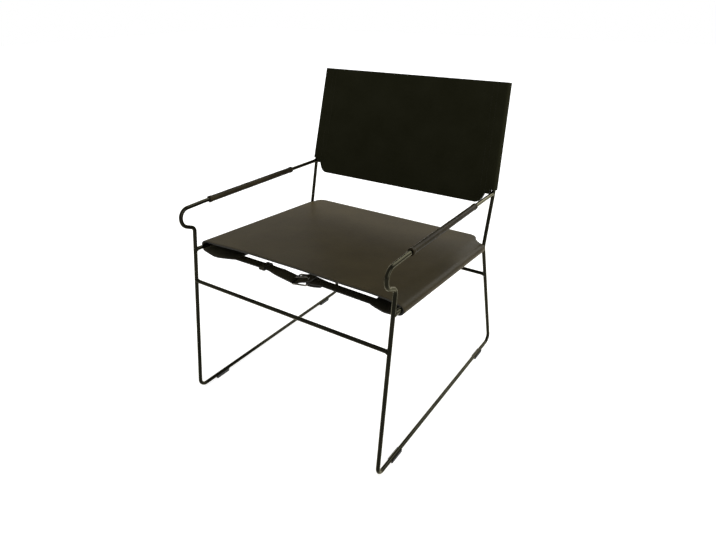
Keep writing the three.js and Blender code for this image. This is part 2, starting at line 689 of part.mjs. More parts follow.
// The buckle's rectangular frame, with round corners and softened edges.
function buckleFrame() {
  const length = heelBar.distanceTo(toeBar) + BAR_DIAMETER;
  const width = STRAP_WIDTH + 2 * BUCKLE_SIDE_GAP + 2 * BAR_DIAMETER;
  const bevel = barRadius / 2;
  const shape = roundRectangle(length - 2 * bevel, width - 2 * bevel, BUCKLE_CORNER_RADIUS - bevel);
  const innerLength = length - 2 * BAR_DIAMETER + 2 * bevel;
  const innerWidth = width - 2 * BAR_DIAMETER + 2 * bevel;
  shape.holes.push(roundRectangle(innerLength, innerWidth, BUCKLE_CORNER_RADIUS - BAR_DIAMETER + bevel));
  const edge = { bevelThickness: bevel, bevelSize: bevel, bevelSegments: 1 };
  const depth = BAR_DIAMETER - 2 * bevel;
  const frame = new THREE.ExtrudeGeometry(shape, { depth, curveSegments: 4, ...edge });
  frame.translate(0, 0, -depth / 2);
  const middle = heelBar.clone().add(toeBar).multiplyScalar(0.5);
  frame.rotateY(-Math.atan2(heelBar.y - toeBar.y, heelBar.x - toeBar.x));
  return frame.translate(middle.x, 0, middle.y);
}

function roundRectangle(length, width, radius) {
  const x = length / 2 - radius;
  const y = width / 2 - radius;
  const shape = new THREE.Shape();
  shape.absarc(x, y, radius, 0, Math.PI / 2, false);
  shape.absarc(-x, y, radius, Math.PI / 2, Math.PI, false);
  shape.absarc(-x, -y, radius, Math.PI, (3 * Math.PI) / 2, false);
  shape.absarc(x, -y, radius, (3 * Math.PI) / 2, 2 * Math.PI, false);
  return shape;
}

function prong() {
  return sweep(disc(prongRadius, 8), prongPath());
}

// A loop of leather that slides on the long strap.
function keeper() {
  const width = STRAP_WIDTH + 2 * KEEPER_SLACK;
  const height = STRAP_THICKNESS + 2 * KEEPER_SLACK;
  const section = roundRectangle(height + 2 * KEEPER_WALL, width + 2 * KEEPER_WALL, KEEPER_WALL);
  section.holes.push(roundRectangle(height, width, KEEPER_SLACK));
  const loop = prism(section, -KEEPER_LENGTH / 2, KEEPER_LENGTH / 2, 3).rotateY(Math.PI / 2);
  return loop.translate(KEEPER_X, 0, -UNDER_SEAT_DROP);
}

// A rivet through both layers of the short strap.
function rivet() {
  const [upper, lower] = heightsAt(shortStrapPath(), RIVET_X);
  const top = upper + STRAP_THICKNESS / 2 + RIVET_SLACK;
  const bottom = lower - STRAP_THICKNESS / 2 - RIVET_SLACK;
  const head = RIVET_HEAD_RADIUS;
  const dome = RIVET_HEAD_HEIGHT;
  const shank = RIVET_SHANK_RADIUS;
  const foot = [[0, bottom - dome], [head / 2, bottom - dome], [head, bottom - dome / 2], [head, bottom]];
  const middle = [[shank, bottom], [shank, top]];
  const cap = [[head, top], [head, top + dome / 2], [head / 2, top + dome], [0, top + dome]];
  const [base, crown] = [new THREE.Vector3(RIVET_X, 0, 0), new THREE.Vector3(RIVET_X, 0, 1)];
  return turned([...foot, ...middle, ...cap], base, crown);
}

function seatSling() {
  const cutters = [tailCutter(-1), tailCutter(1), underCutter(), hollowCutter()];
  for (const side of [-1, 1]) {
    cutters.push(shoulderCutter(side, seatFront, 1), shoulderCutter(side, rollEnd, -1));
  }
  const hide = cut(seatBand(), ...cutters);
  const tongues = [];
  for (const place of STRAP_PLACES) {
    const y = strapCentre(place);
    tongues.push(rolled(longStrap()).translate(0, y, 0), rolled(shortStrap()).translate(0, y, 0));
  }
  return join(hide, ...tongues);
}

// Back, in its own frame: Z runs up the posts from the kink, and -Y faces the sitter.

const backPitch = -Math.atan2(postDirection.x, postDirection.y);
const postRun = postDirection.length();
const jointRun = (ARM_REAR_HEIGHT - KINK_HEIGHT) / Math.cos(backPitch);
const backTop = postRun + BACK_TOP_OVERLAP;
const postTaper = (FRAME_HALF_WIDTH - BACK_TOP_HALF_WIDTH) / (postRun - jointRun);

function postX(run) {
  return FRAME_HALF_WIDTH - postTaper * Math.max(0, run - jointRun);
}

// The section of the back at the height of the arm joint, square to the posts.
// Each sleeve wraps a post from the front and closes behind it on a doubled seam.
function backSection() {
  const inner = rodRadius + HIDE_SLACK;
  const outer = inner + HIDE_THICKNESS;
  const wedge = 2 * Math.atan(inner / SLEEVE_DEPTH);
  const rear = HIDE_THICKNESS - inner;
  const slant = (outer * Math.sin(Math.PI / 2 + wedge) - rear) / Math.tan(wedge);
  const seamStart = FRAME_HALF_WIDTH + outer * Math.cos(Math.PI / 2 + wedge) - slant;
  const seamEnd = seamStart - SEAM_WIDTH;
  const section = new THREE.Shape();
  section.absarc(FRAME_HALF_WIDTH, 0, outer, -Math.PI / 2, Math.PI / 2 + wedge, false);
  section.lineTo(seamStart, rear);
  section.lineTo(seamEnd, rear);
  section.lineTo(seamEnd, -inner);
  section.lineTo(-seamEnd, -inner);
  section.lineTo(-seamEnd, rear);
  section.lineTo(-seamStart, rear);
  section.absarc(-FRAME_HALF_WIDTH, 0, outer, Math.PI / 2 - wedge, (3 * Math.PI) / 2, false);
  return section;
}

// The tapered channel inside one sleeve, round its post.
function postChannel(side) {
  const radius = rodRadius + HIDE_SLACK;
  const wedge = 2 * Math.atan(radius / SLEEVE_DEPTH);
  const channel = new THREE.Shape();
  const from = side > 0 ? -Math.PI / 2 : Math.PI / 2 - wedge;
  channel.absarc(side * FRAME_HALF_WIDTH, 0, radius, from, from + Math.PI + wedge, false);
  channel.lineTo(side * (FRAME_HALF_WIDTH - SLEEVE_DEPTH), -radius);
  return channel;
}

// A section of the back drawn up the posts, and leaning in with them.
function leaning(section) {
  const drawn = prism(section, BACK_PANEL_BOTTOM - CUT_OVERRUN, backTop + CUT_OVERRUN);
  const place = drawn.attributes.position;
  for (let i = 0; i < place.count; i += 1) {
    const lean = postTaper * (place.getZ(i) - jointRun);
    place.setX(i, place.getX(i) - Math.sign(place.getX(i)) * lean);
  }
  return drawn;
}

// The back: one hide with a sleeve down each side.
function backSling() {
  const hide = cut(leaning(backSection()), leaning(postChannel(-1)), leaning(postChannel(1)));
  return overlap(hide, backPattern());
}

// The corners of the notch that clears one post and arm joint, from the outside in.
function notchPoints(side) {
  const step = FRAME_HALF_WIDTH - rodRadius - WELD_THROAT - BACK_NOTCH_CLEARANCE;
  const from = new THREE.Vector2(step - BACK_NOTCH_STEP, BACK_NOTCH_TOP);
  const to = new THREE.Vector2(FRAME_HALF_WIDTH - BACK_NOTCH_INSET, BACK_PANEL_BOTTOM);
  const hollow = new THREE.Vector2(from.x - BACK_NOTCH_LEAN, BACK_PANEL_BOTTOM + BACK_NOTCH_LEAN);
  const curve = new THREE.QuadraticBezierCurve(from, hollow, to).getPoints(NOTCH_FACETS);
  const lip = [BACK_SLEEVE_BOTTOM, BACK_NOTCH_TOP].map((z) => new THREE.Vector2(step, z));
  return [...lip, ...curve].map((point) => point.setX(side * point.x));
}

// The outline that the back is cut to, seen square to it.
function backPattern() {
  const wide = FRAME_HALF_WIDTH + CUT_OVERRUN;
  const right = [new THREE.Vector2(-wide, backTop), new THREE.Vector2(-wide, BACK_SLEEVE_BOTTOM)];
  const left = [new THREE.Vector2(wide, BACK_SLEEVE_BOTTOM), new THREE.Vector2(wide, backTop)];
  const shape = new THREE.Shape([...right, ...notchPoints(-1), ...notchPoints(1).reverse(), ...left]);
  return prism(shape, -CUT_OVERRUN, CUT_OVERRUN).rotateX(Math.PI / 2);
}

// Assembly

const chair = new THREE.Group();

for (const [hand, side] of [['left', 1], ['right', -1]]) {
  chair.add(named(`side_frame_${hand}`, sideFrame(side), finishes.powderCoat));
  chair.add(named(`seat_rail_${hand}`, seatRail(side), finishes.powderCoat));
  chair.add(named(`arm_sleeve_${hand}`, armSleeve(side), finishes.armLeather));
  chair.add(named(`glide_front_${hand}`, glide(side, frontGlideY), finishes.glidePlastic));
  chair.add(named(`glide_rear_${hand}`, glide(side, rearGlideY), finishes.glidePlastic));
}
const frontStretcher = stretcher(frontLegY(FRONT_STRETCHER_HEIGHT), FRONT_STRETCHER_HEIGHT);
const rearStretcher = stretcher(rearLegY(REAR_STRETCHER_HEIGHT), REAR_STRETCHER_HEIGHT);
chair.add(named('front_stretcher', frontStretcher, finishes.powderCoat));
chair.add(named('rear_stretcher', rearStretcher, finishes.powderCoat));

const seat = new THREE.Group();
seat.position.set(0, railFront.x, railFront.y);
seat.rotation.x = railPitch;
seat.add(named('seat_sling', seatSling(), finishes.seatLeather));
for (const place of STRAP_PLACES) {
  const strap = new THREE.Group();
  strap.position.y = strapCentre(place);
  strap.add(named(`buckle_frame_${place}`, rolled(buckleFrame()), finishes.buckleMetal));
  strap.add(named(`buckle_prong_${place}`, rolled(prong()), finishes.buckleMetal));
  strap.add(named(`strap_keeper_${place}`, keeper(), finishes.strapLeather));
  strap.add(named(`strap_rivet_${place}`, rolled(rivet()), finishes.buckleMetal));
  seat.add(strap);
}
chair.add(seat);

const back = new THREE.Group();
back.position.set(0, KINK_Y, KINK_HEIGHT);
back.rotation.x = backPitch;
back.add(named('back_sling', backSling(), finishes.backLeather));
chair.add(back);

export default chair;
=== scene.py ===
"""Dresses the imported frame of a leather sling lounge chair.

Bent rod side frames, rails and stretchers in powder-coated steel carry a saddle leather
seat that buckles below, a sleeved leather back and two stitched arm wraps.
Sizes are in millimetres until a piece is finished; then its mesh is in metres.
"""

from __future__ import annotations

import logging
import math
from collections.abc import Callable, Sequence
from dataclasses import dataclass, field
from enum import Enum

import bmesh
import bpy
from mathutils import Matrix, Vector, noise

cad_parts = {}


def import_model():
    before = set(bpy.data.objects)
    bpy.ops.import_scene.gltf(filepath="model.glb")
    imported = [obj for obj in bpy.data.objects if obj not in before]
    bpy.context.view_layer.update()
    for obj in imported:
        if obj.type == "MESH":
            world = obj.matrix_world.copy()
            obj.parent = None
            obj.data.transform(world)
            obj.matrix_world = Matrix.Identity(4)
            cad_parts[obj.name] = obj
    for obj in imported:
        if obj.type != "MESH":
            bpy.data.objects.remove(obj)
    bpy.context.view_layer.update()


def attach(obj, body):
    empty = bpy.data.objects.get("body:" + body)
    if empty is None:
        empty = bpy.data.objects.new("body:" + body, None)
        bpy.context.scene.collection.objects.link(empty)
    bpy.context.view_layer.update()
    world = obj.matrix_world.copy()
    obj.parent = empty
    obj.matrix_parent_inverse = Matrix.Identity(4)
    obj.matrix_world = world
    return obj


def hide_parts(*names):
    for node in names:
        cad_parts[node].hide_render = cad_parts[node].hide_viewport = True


MM = 0.001
X_AXIS = Vector((1, 0, 0))
Y_AXIS = Vector((0, 1, 0))
Z_AXIS = Vector((0, 0, 1))
PHOTO_WIDTH = 716
TOUCHING = 0.01

log = logging.getLogger("sling_chair")

Profile = Sequence[tuple[float, float]]


# Colour and node helpers


def linear(hex_colour: str) -> tuple[float, float, float, float]:
    """Turns an sRGB hex colour into the linear values that shaders read.

    Args:
        hex_colour: Six hex digits after a hash.

    Returns:
        Red, green, blue and an alpha of one.
    """
    channels = [int(hex_colour[i : i + 2], 16) / 255 for i in (1, 3, 5)]
    red, green, blue = (
        c / 12.92 if c <= 0.04045 else ((c + 0.055) / 1.055) ** 2.4 for c in channels
    )
    return red, green, blue, 1.0


def add_node(
    tree: bpy.types.NodeTree, kind: str, inputs: dict[str, object], **settings: object
) -> bpy.types.Node:
    """Adds one node with its settings, and its inputs set or linked.

    Args:
        tree: The material's or world's node tree.
        kind: The node's Blender type name.
        inputs: A value, or another node's output socket, for each input by name or place.
        **settings: Attributes of the node.

    Returns:
        The new node.
    """
    made = tree.nodes.new(kind)
    for name, value in settings.items():
        setattr(made, name, value)
    for name, value in inputs.items():
        socket = made.inputs[int(name) if name.isdigit() else name]
        if isinstance(value, bpy.types.NodeSocket):
            tree.links.new(value, socket)
        else:
            socket.default_value = value
    return made


def clear_tree(owner: bpy.types.Material | bpy.types.World) -> bpy.types.NodeTree:
    """Empties the node tree of a material or world.

    Args:
        owner: The material or world.

    Returns:
        The empty tree.
    """
    owner.use_nodes = True
    owner.node_tree.nodes.clear()
    return owner.node_tree


def seen_rays(tree: bpy.types.NodeTree) -> bpy.types.NodeSocket:
    """Tells the rays that the eye follows from those that only bring light.

    Args:
        tree: The node tree of the floor or the world.

    Returns:
        A socket that is 1 straight ahead, in gloss and through glass, and else 0.
    """
    rays = add_node(tree, "ShaderNodeLightPath", {})
    seen = rays.outputs["Is Camera Ray"]
    for way in ("Is Glossy Ray", "Is Transmission Ray"):
        either = add_node(
            tree, "ShaderNodeMath", {"0": seen, "1": rays.outputs[way]}, operation="MAXIMUM"
        )
        seen = either.outputs["Value"]
    return seen


def scale_of(size_mm: float) -> float:
    """Returns the scale that draws a pattern at its real size in millimetres."""
    return 1 / (size_mm * MM)


class Surface:
    """A material in the making: its tree, its shader and the places on the piece."""

    def __init__(self, name: str, even: dict[str, object]) -> None:
        """Starts the material.

        Args:
            name: The material's name.
            even: What is the same all over it, for the shader's own sockets.
        """
        self.material = bpy.data.materials.new(name)
        self.tree = clear_tree(self.material)
        self.shader = add_node(self.tree, "ShaderNodeBsdfPrincipled", even)
        self.place = add_node(self.tree, "ShaderNodeTexCoord", {}).outputs["Object"]
        add_node(self.tree, "ShaderNodeOutputMaterial", {"Surface": self.shader.outputs["BSDF"]})

    def dress(
        self,
        tones: tuple[str, str],
        tone_by: bpy.types.NodeSocket,
        height_by: bpy.types.NodeSocket,
        strength: float,
        depth_mm: float,
        span: tuple[float, float] = (0.3, 0.7),
        over: bpy.types.NodeSocket | None = None,
    ) -> bpy.types.Material:
        """Colours the surface in two tones and gives it relief.

        Args:
            tones: The hex colours where the first pattern is low and where it is high.
            tone_by: The pattern that blends the tones.
            height_by: The pattern that raises the surface.
            strength: How much of the relief shows.
            depth_mm: The relief's real depth.
            span: The values of the first pattern between which the tones blend.
            over: The normal of a finer relief that lies below this one.

        Returns:
            The finished material.
        """
        ramp = add_node(self.tree, "ShaderNodeValToRGB", {"Fac": tone_by})
        for element, place, colour in zip(ramp.color_ramp.elements, span, tones):
            element.position = place
            element.color = linear(colour)
        relief = {"Strength": strength, "Distance": depth_mm * MM, "Height": height_by}
        if over is not None:
            relief["Normal"] = over
        bump = add_node(self.tree, "ShaderNodeBump", relief)
        self.tree.links.new(ramp.outputs["Color"], self.shader.inputs["Base Color"])
        self.tree.links.new(bump.outputs["Normal"], self.shader.inputs["Normal"])
        return self.material


# Finishes


@dataclass(frozen=True)
class PowderCoat:
    """Black metallic powder coat: dark where it faces the eye, bright where it turns away."""

    colour: str = "#14140f"
    worn: str = "#1e1d16"
    roughness: float = 0.13
    flake: float = 1.0
    rim: str = "#fffbe8"
    cloud_mm: float = 60.0
    peel_mm: float = 1.6
    peel_depth_mm: float = 0.15

    def make(self) -> bpy.types.Material:
        """Makes the material.

        Returns:
            The finished material.
        """
        rim = linear(self.rim)
        even = {"Roughness": self.roughness, "Metallic": self.flake, "Specular Tint": rim}
        coat = Surface("powder_coated_steel", even)
        cloud = add_node(
            coat.tree,
            "ShaderNodeTexNoise",
            {"Vector": coat.place, "Scale": scale_of(self.cloud_mm), "Detail": 3.0},
        )
        peel = add_node(
            coat.tree,
            "ShaderNodeTexNoise",
            {"Vector": coat.place, "Scale": scale_of(self.peel_mm), "Detail": 1.0},
        )
        return coat.dress(
            (self.colour, self.worn),
            cloud.outputs["Fac"],
            peel.outputs["Fac"],
            strength=0.12,
            depth_mm=self.peel_depth_mm,
        )


@dataclass(frozen=True)
class SaddleLeather:
    """Vegetable-tanned hide, drum-dyed and waxed: fine pores, soft cloudy colour, low sheen."""

    name: str
    dark: str
    light: str
    nap: float
    nap_tint: str = "#ffe7b0"
    nap_roughness: float = 0.3
    specular: float = 0.02
    roughness: float = 0.45
    polished: float = 0.07
    dulled: float = 0.09
    cloud_mm: float = 85.0
    fleck_mm: float = 4.0
    fleck_share: float = 0.25
    crease_mm: float = 9.0
    crease_depth_mm: float = 0.35
    pore_mm: float = 1.7
    pore_depth_mm: float = 0.12

    def make(self) -> bpy.types.Material:
        """Makes the material.

        Returns:
            The finished material.
        """
        hide = Surface(
            self.name,
            {
                "Specular IOR Level": self.specular,
                "Sheen Weight": self.nap,
                "Sheen Roughness": self.nap_roughness,
                "Sheen Tint": linear(self.nap_tint),
            },
        )
        cloud, fleck, creases = (
            add_node(
                hide.tree,
                "ShaderNodeTexNoise",
                {
                    "Vector": hide.place,
                    "Scale": scale_of(size_mm),
                    "Detail": detail,
                    "Roughness": roughness,
                },
            )
            for size_mm, detail, roughness in (
                (self.cloud_mm, 4.0, 0.6),
                (self.fleck_mm, 5.0, 0.7),
                (self.crease_mm, 6.0, 0.65),
            )
        )
        share = add_node(
            hide.tree,
            "ShaderNodeMath",
            {"0": fleck.outputs["Fac"], "1": self.fleck_share},
            operation="MULTIPLY",
        )
        both = add_node(
            hide.tree,
            "ShaderNodeMath",
            {"0": cloud.outputs["Fac"], "1": 1 - self.fleck_share, "2": share.outputs["Value"]},
            operation="MULTIPLY_ADD",
        )
        pores = add_node(
            hide.tree,
            "ShaderNodeTexVoronoi",
            {"Vector": hide.place, "Scale": scale_of(self.pore_mm), "Randomness": 1.0},
            feature="F1",
        )
        fine = add_node(
            hide.tree,
            "ShaderNodeBump",
            {
                "Strength": 0.25,
                "Distance": self.pore_depth_mm * MM,
                "Height": pores.outputs["Distance"],
            },
        )
        rough = add_node(
            hide.tree,
            "ShaderNodeMapRange",
            {
                "Value": fleck.outputs["Fac"],
                "To Min": self.roughness - self.polished,
                "To Max": self.roughness + self.dulled,
            },
        )
        hide.tree.links.new(rough.outputs["Result"], hide.shader.inputs["Roughness"])
        return hide.dress(
            (self.dark, self.light),
            both.outputs["Value"],
            creases.outputs["Fac"],
            strength=0.35,
            depth_mm=self.crease_depth_mm,
            span=(0.35, 0.65),
            over=fine.outputs["Normal"],
        )


@dataclass(frozen=True)
class FleshSide:
    """The hide's inner side: short nap, no sheen, a little lighter in patches."""

    dark: str = "#26241a"
    light: str = "#3a372b"
    roughness: float = 0.92
    specular: float = 0.12
    nap_mm: float = 2.2
    nap_depth_mm: float = 0.4

    def make(self) -> bpy.types.Material:
        """Makes the material.

        Returns:
            The finished material.
        """
        even = {"Roughness": self.roughness, "Specular IOR Level": self.specular}
        suede = Surface("leather_flesh_side", even)
        nap = add_node(
            suede.tree,
            "ShaderNodeTexNoise",
            {
                "Vector": suede.place,
                "Scale": scale_of(self.nap_mm),
                "Detail": 8.0,
                "Roughness": 0.8,
            },
        ).outputs["Fac"]
        tones = self.dark, self.light
        return suede.dress(tones, nap, nap, strength=0.6, depth_mm=self.nap_depth_mm)


@dataclass(frozen=True)
class BurnishedEdge:
    """A cut edge, dyed and rubbed smooth: near black with faint layers along it."""

    dark: str = "#100f0b"
    light: str = "#201e17"
    roughness: float = 0.48
    specular: float = 0.2
    layer_mm: float = 1.1
    layer_depth_mm: float = 0.1

    def make(self) -> bpy.types.Material:
        """Makes the material.

        Returns:
            The finished material.
        """
        even = {"Roughness": self.roughness, "Specular IOR Level": self.specular}
        edge = Surface("burnished_leather_edge", even)
        layers = add_node(
            edge.tree,
            "ShaderNodeTexNoise",
            {"Vector": edge.place, "Scale": scale_of(self.layer_mm), "Detail": 4.0},
        ).outputs["Fac"]
        tones = self.dark, self.light
        return edge.dress(tones, layers, layers, strength=0.2, depth_mm=self.layer_depth_mm)


@dataclass(frozen=True)
class NickelPlate:
    """Nickel-plated cast steel: a soft grey mirror, with light scratches and a dull cast."""

    colour: str = "#77736a"
    dulled: str = "#423f37"
    roughness: float = 0.24
    dulled_by: float = 0.12
    cloud_mm: float = 6.0
    cloud_depth_mm: float = 0.05

    def make(self) -> bpy.types.Material:
        """Makes the material.

        Returns:
            The finished material.
        """
        plate = Surface("nickel_plate", {"Metallic": 1.0})
        cloud = add_node(
            plate.tree,
            "ShaderNodeTexNoise",
            {"Vector": plate.place, "Scale": scale_of(self.cloud_mm), "Detail": 5.0},
        ).outputs["Fac"]
        rough = add_node(
            plate.tree,
            "ShaderNodeMapRange",
            {
                "Value": cloud,
                "To Min": self.roughness + self.dulled_by,
                "To Max": self.roughness,
            },
        )
        plate.tree.links.new(rough.outputs["Result"], plate.shader.inputs["Roughness"])
        tones = self.dulled, self.colour
        return plate.dress(tones, cloud, cloud, strength=0.15, depth_mm=self.cloud_depth_mm)


@dataclass(frozen=True)
class MouldedNylon:
    """Moulded nylon: matte black with a fine spark-eroded texture."""

    colour: str = "#12120f"
    scuffed: str = "#1d1d19"
    roughness: float = 0.62
    specular: float = 0.3
    grain_mm: float = 0.9
    grain_depth_mm: float = 0.1

    def make(self) -> bpy.types.Material:
        """Makes the material.

        Returns:
            The finished material.
        """
        even = {"Roughness": self.roughness, "Specular IOR Level": self.specular}
        nylon = Surface("moulded_nylon", even)
        grain = add_node(
            nylon.tree,
            "ShaderNodeTexNoise",
            {"Vector": nylon.place, "Scale": scale_of(self.grain_mm), "Detail": 3.0},
        ).outputs["Fac"]
        tones = self.colour, self.scuffed
        return nylon.dress(tones, grain, grain, strength=0.3, depth_mm=self.grain_depth_mm)


@dataclass(frozen=True)
class WaxedThread:
    """Waxed polyester thread: twisted strands, with a painted highlight in a lighter tone along
    each twist.
    """

    colour: str = "#1a1a11"
    painted_twist_highlight: str = "#252419"
    roughness: float = 0.55
    specular: float = 0.08
    twist_mm: float = 0.5
    twist_depth_mm: float = 0.1

    def make(self) -> bpy.types.Material:
        """Makes the material.

        Returns:
            The finished material.
        """
        even = {"Roughness": self.roughness, "Specular IOR Level": self.specular}
        thread = Surface("waxed_thread", even)
        # The wave texture draws ten times as many bands as its scale says.
        twist = add_node(
            thread.tree,
            "ShaderNodeTexWave",
            {"Vector": thread.place, "Scale": scale_of(10 * self.twist_mm), "Distortion": 1.0},
            bands_direction="DIAGONAL",
        ).outputs["Fac"]
        # The second tone is a painted highlight on each twist of the thread.
        tones = self.colour, self.painted_twist_highlight
        return thread.dress(tones, twist, twist, strength=0.3, depth_mm=self.twist_depth_mm)


@dataclass(frozen=True)
class Palette:
    """Every finish of the chair, made once."""

    steel: bpy.types.Material
    seat: bpy.types.Material
    back: bpy.types.Material
    strap: bpy.types.Material
    wrap: bpy.types.Material
    flesh: bpy.types.Material
    edge: bpy.types.Material
    nickel: bpy.types.Material
    nylon: bpy.types.Material
    thread: bpy.types.Material

    @classmethod
    def mixed(cls) -> Palette:
        """Makes each material.

        Returns:
            The palette.
        """
        seat = SaddleLeather(
            "seat_saddle_leather",
            "#221e12",
            "#2b2617",
            nap=0.19,
            nap_tint="#ffdf9c",
            specular=0.04,
        )
        back = SaddleLeather("back_saddle_leather", "#1d1d12", "#222217", nap=0.01, specular=0.002)
        strap = SaddleLeather("strap_bridle_leather", "#2a281e", "#3a372a", nap=0.05)
        wrap = SaddleLeather(
            "arm_wrap_leather", "#1a170f", "#2d281b", nap=0.01, specular=0.018, roughness=0.3
        )
        return cls(
            steel=PowderCoat().make(),
            seat=seat.make(),
            back=back.make(),
            strap=strap.make(),
            wrap=wrap.make(),
            flesh=FleshSide().make(),
            edge=BurnishedEdge().make(),
            nickel=NickelPlate().make(),
            nylon=MouldedNylon().make(),
            thread=WaxedThread().make(),
        )

    def sheet(self, grain: bpy.types.Material) -> list[bpy.types.Material]:
        """Returns a sheet's materials: its grain side, its flesh side and its cut edge."""
        return [grain, self.flesh, self.edge]


# Paths that a rod or a strap follows


@dataclass(frozen=True)
class Corner:
    """A corner of a path, with the radius that rounds it."""

    at: Vector
    radius: float = 0.0


@dataclass(frozen=True)
class Station:
    """A place on a path, with the direction that the path has there."""

    at: Vector
    along: Vector


@dataclass(frozen=True)
class Roller:
    """A roller that a strap passes: turn is 1 where it goes round anticlockwise in X and Z."""

    x: float
    z: float
    radius: float
    turn: int


def round_bend(corner: Corner, entry: Vector, following: Vector, step: float) -> list[Station]:
    """Rounds one corner.

    Args:
        corner: The corner and its radius.
        entry: The direction in which the path comes in.
        following: The next corner's place.
        step: The largest turn between two stations, in radians.

    Returns:
        The stations from where the bend starts to where it ends.
    """
    leaving = (following - corner.at).normalized()
    turn = entry.angle(leaving)
    start = corner.at - entry * (corner.radius * math.tan(turn / 2))
    inward = (leaving - entry * entry.dot(leaving)).normalized()
    count = max(1, math.ceil(turn / step))
    stations = []
    for k in range(count + 1):
        angle = turn * k / count
        at = start + entry * (corner.radius * math.sin(angle))
        at += inward * (corner.radius * (1 - math.cos(angle)))
        along = entry * math.cos(angle) + inward * math.sin(angle)
        stations.append(Station(at, along.normalized()))
    return stations


def bent_path(
    corners: Sequence[Corner], straight: float = math.inf, step: float = math.radians(6)
) -> list[Station]:
    """Walks a path of straights and round bends.

    Args:
        corners: The path's ends and corners, in order.
        straight: The longest straight between two stations.
        step: The largest turn between two stations, in radians.

    Returns:
        The stations along the path.
    """
    stations: list[Station] = []
    start = corners[0].at
    for i in range(1, len(corners)):
        last = i == len(corners) - 1
        entry = (corners[i].at - corners[i - 1].at).normalized()
        bend = [] if last else round_bend(corners[i], entry, corners[i + 1].at, step)
        end = corners[i].at if last else bend[0].at
        pieces = max(1, math.ceil((end - start).length / straight))
        for k in range(1 if stations else 0, pieces + 1 if last else pieces):
            stations.append(Station(start.lerp(end, k / pieces), entry))
        touching = bool(stations and bend) and (bend[0].at - stations[-1].at).length < TOUCHING
        stations += bend[1:] if touching else bend
        start = end if last else bend[-1].at
    return stations


def belt_corners(start: Vector, rollers: Sequence[Roller], end: Vector) -> list[Corner]:
    """Draws a strap tight from one point round some rollers to another.

    Args:
        start: Where the strap begins.
        rollers: The rollers that it passes.
        end: Where the strap ends.

    Returns:
        The corners of the strap's middle line, rounded by the rollers.
    """
    stops = [Roller(start.x, start.z, 0, 1), *rollers, Roller(end.x, end.z, 0, 1)]
    lines = [tangent(a, b) for a, b in zip(stops, stops[1:])]
    corners = [Corner(start)]
    for entry, roller, leaving in zip(lines, rollers, lines[1:]):
        if entry[1].dot(leaving[1]) > 0:
            corners.append(Corner(crossing(entry, leaving), roller.radius))
            continue
        inward = (leaving[1] - entry[1]).normalized()
        along = Vector((inward.z, 0, -inward.x)) * roller.turn
        side = Vector((roller.x, 0, roller.z)) - inward * roller.radius
        for line in (entry, leaving):
            corners.append(Corner(crossing(line, (side, along)), roller.radius))
    return [*corners, Corner(end)]


def tangent(a: Roller, b: Roller) -> tuple[Vector, Vector]:
    """Finds the straight that leaves one roller and meets the next.

    Args:
        a: The roller that it leaves.
        b: The roller that it meets.

    Returns:
        A point on the straight, and its direction.
    """
    gap = Vector((b.x - a.x, 0, b.z - a.z))
    offset = a.turn * a.radius - b.turn * b.radius
    angle = math.atan2(gap.z, gap.x) + math.asin(offset / gap.length)
    along = Vector((math.cos(angle), 0, math.sin(angle)))
    out = Vector((along.z, 0, -along.x))
    return Vector((a.x, 0, a.z)) + out * (a.turn * a.radius), along


def crossing(a: tuple[Vector, Vector], b: tuple[Vector, Vector]) -> Vector:
    """Finds where two straights in the X and Z plane cross.

    Args:
        a: A point on the first straight, and its direction.
        b: The same of the second.

    Returns:
        The point where they cross.
    """
    gap = b[0] - a[0]
    along = (gap.x * b[1].z - gap.z * b[1].x) / (a[1].x * b[1].z - a[1].z * b[1].x)
    return a[0] + a[1] * along


def mirrored(half: Sequence[Corner]) -> list[Corner]:
    """Returns a path's first half, then the same on the chair's other side in reverse."""
    other = [Corner(Vector((-c.at.x, c.at.y, c.at.z)), c.radius) for c in reversed(half)]
    return [*half, *other]


def rectangle(x: float, y: float) -> list[tuple[float, float]]:
    """Returns the way round a rectangle by its half sizes, from the middle of one side."""
    return [(0, -y), (x, -y), (x, y), (-x, y), (-x, -y), (0, -y)]


def with_marks(
    stations: Sequence[Station],
    marks: Sequence[float],
    where: Callable[[Vector], bool] = lambda at: True,
) -> list[Station]:
    """Adds stations to a hide's middle line where its outline steps or turns.

    Args:
        stations: The line.
        marks: Places across the chair.
        where: Tells whether a mark is added near a place.

    Returns:
        The line with its new stations.
    """
    made = [stations[0]]
    for before, after in zip(stations, stations[1:]):
        inside = []
        for x in marks:
            run = after.at.x - before.at.x
            share = (x - before.at.x) / run if run else -1
            if 0.001 < share < 0.999 and where(before.at):
                inside.append((share, Station(before.at.lerp(after.at, share), before.along)))
        made += [station for _, station in sorted(inside, key=lambda pair: pair[0])]
        made.append(after)
    return made


# Curves


def smooth_share(x: float, low: float, high: float) -> float:
    """Returns a share that rises smoothly from 0 to 1 between two places."""
    t = min(1.0, max(0.0, (x - low) / (high - low)))
    return t * t * (3 - 2 * t)


def curve_at(t: float, start: float, pull: float, end: float) -> float:
    """Returns one coordinate of a three-point curve, at a share of the way along it."""
    return (1 - t) ** 2 * start + 2 * t * (1 - t) * pull + t * t * end


def curve_height(
    x: float, start: tuple[float, float], pull: tuple[float, float], end: tuple[float, float]
) -> float:
    """Finds the height of a three-point curve over a place.

    Args:
        x: The place, between the curve's ends.
        start: The curve's first point.
        pull: The point that draws the curve towards it.
        end: The curve's last point.

    Returns:
        The height there.
    """
    low, high = 0.0, 1.0
    rising = end[0] > start[0]
    for _ in range(40):
        t = (low + high) / 2
        if (curve_at(t, start[0], pull[0], end[0]) < x) == rising:
            low = t
        else:
            high = t
    return curve_at(t, start[1], pull[1], end[1])


# Mesh helpers


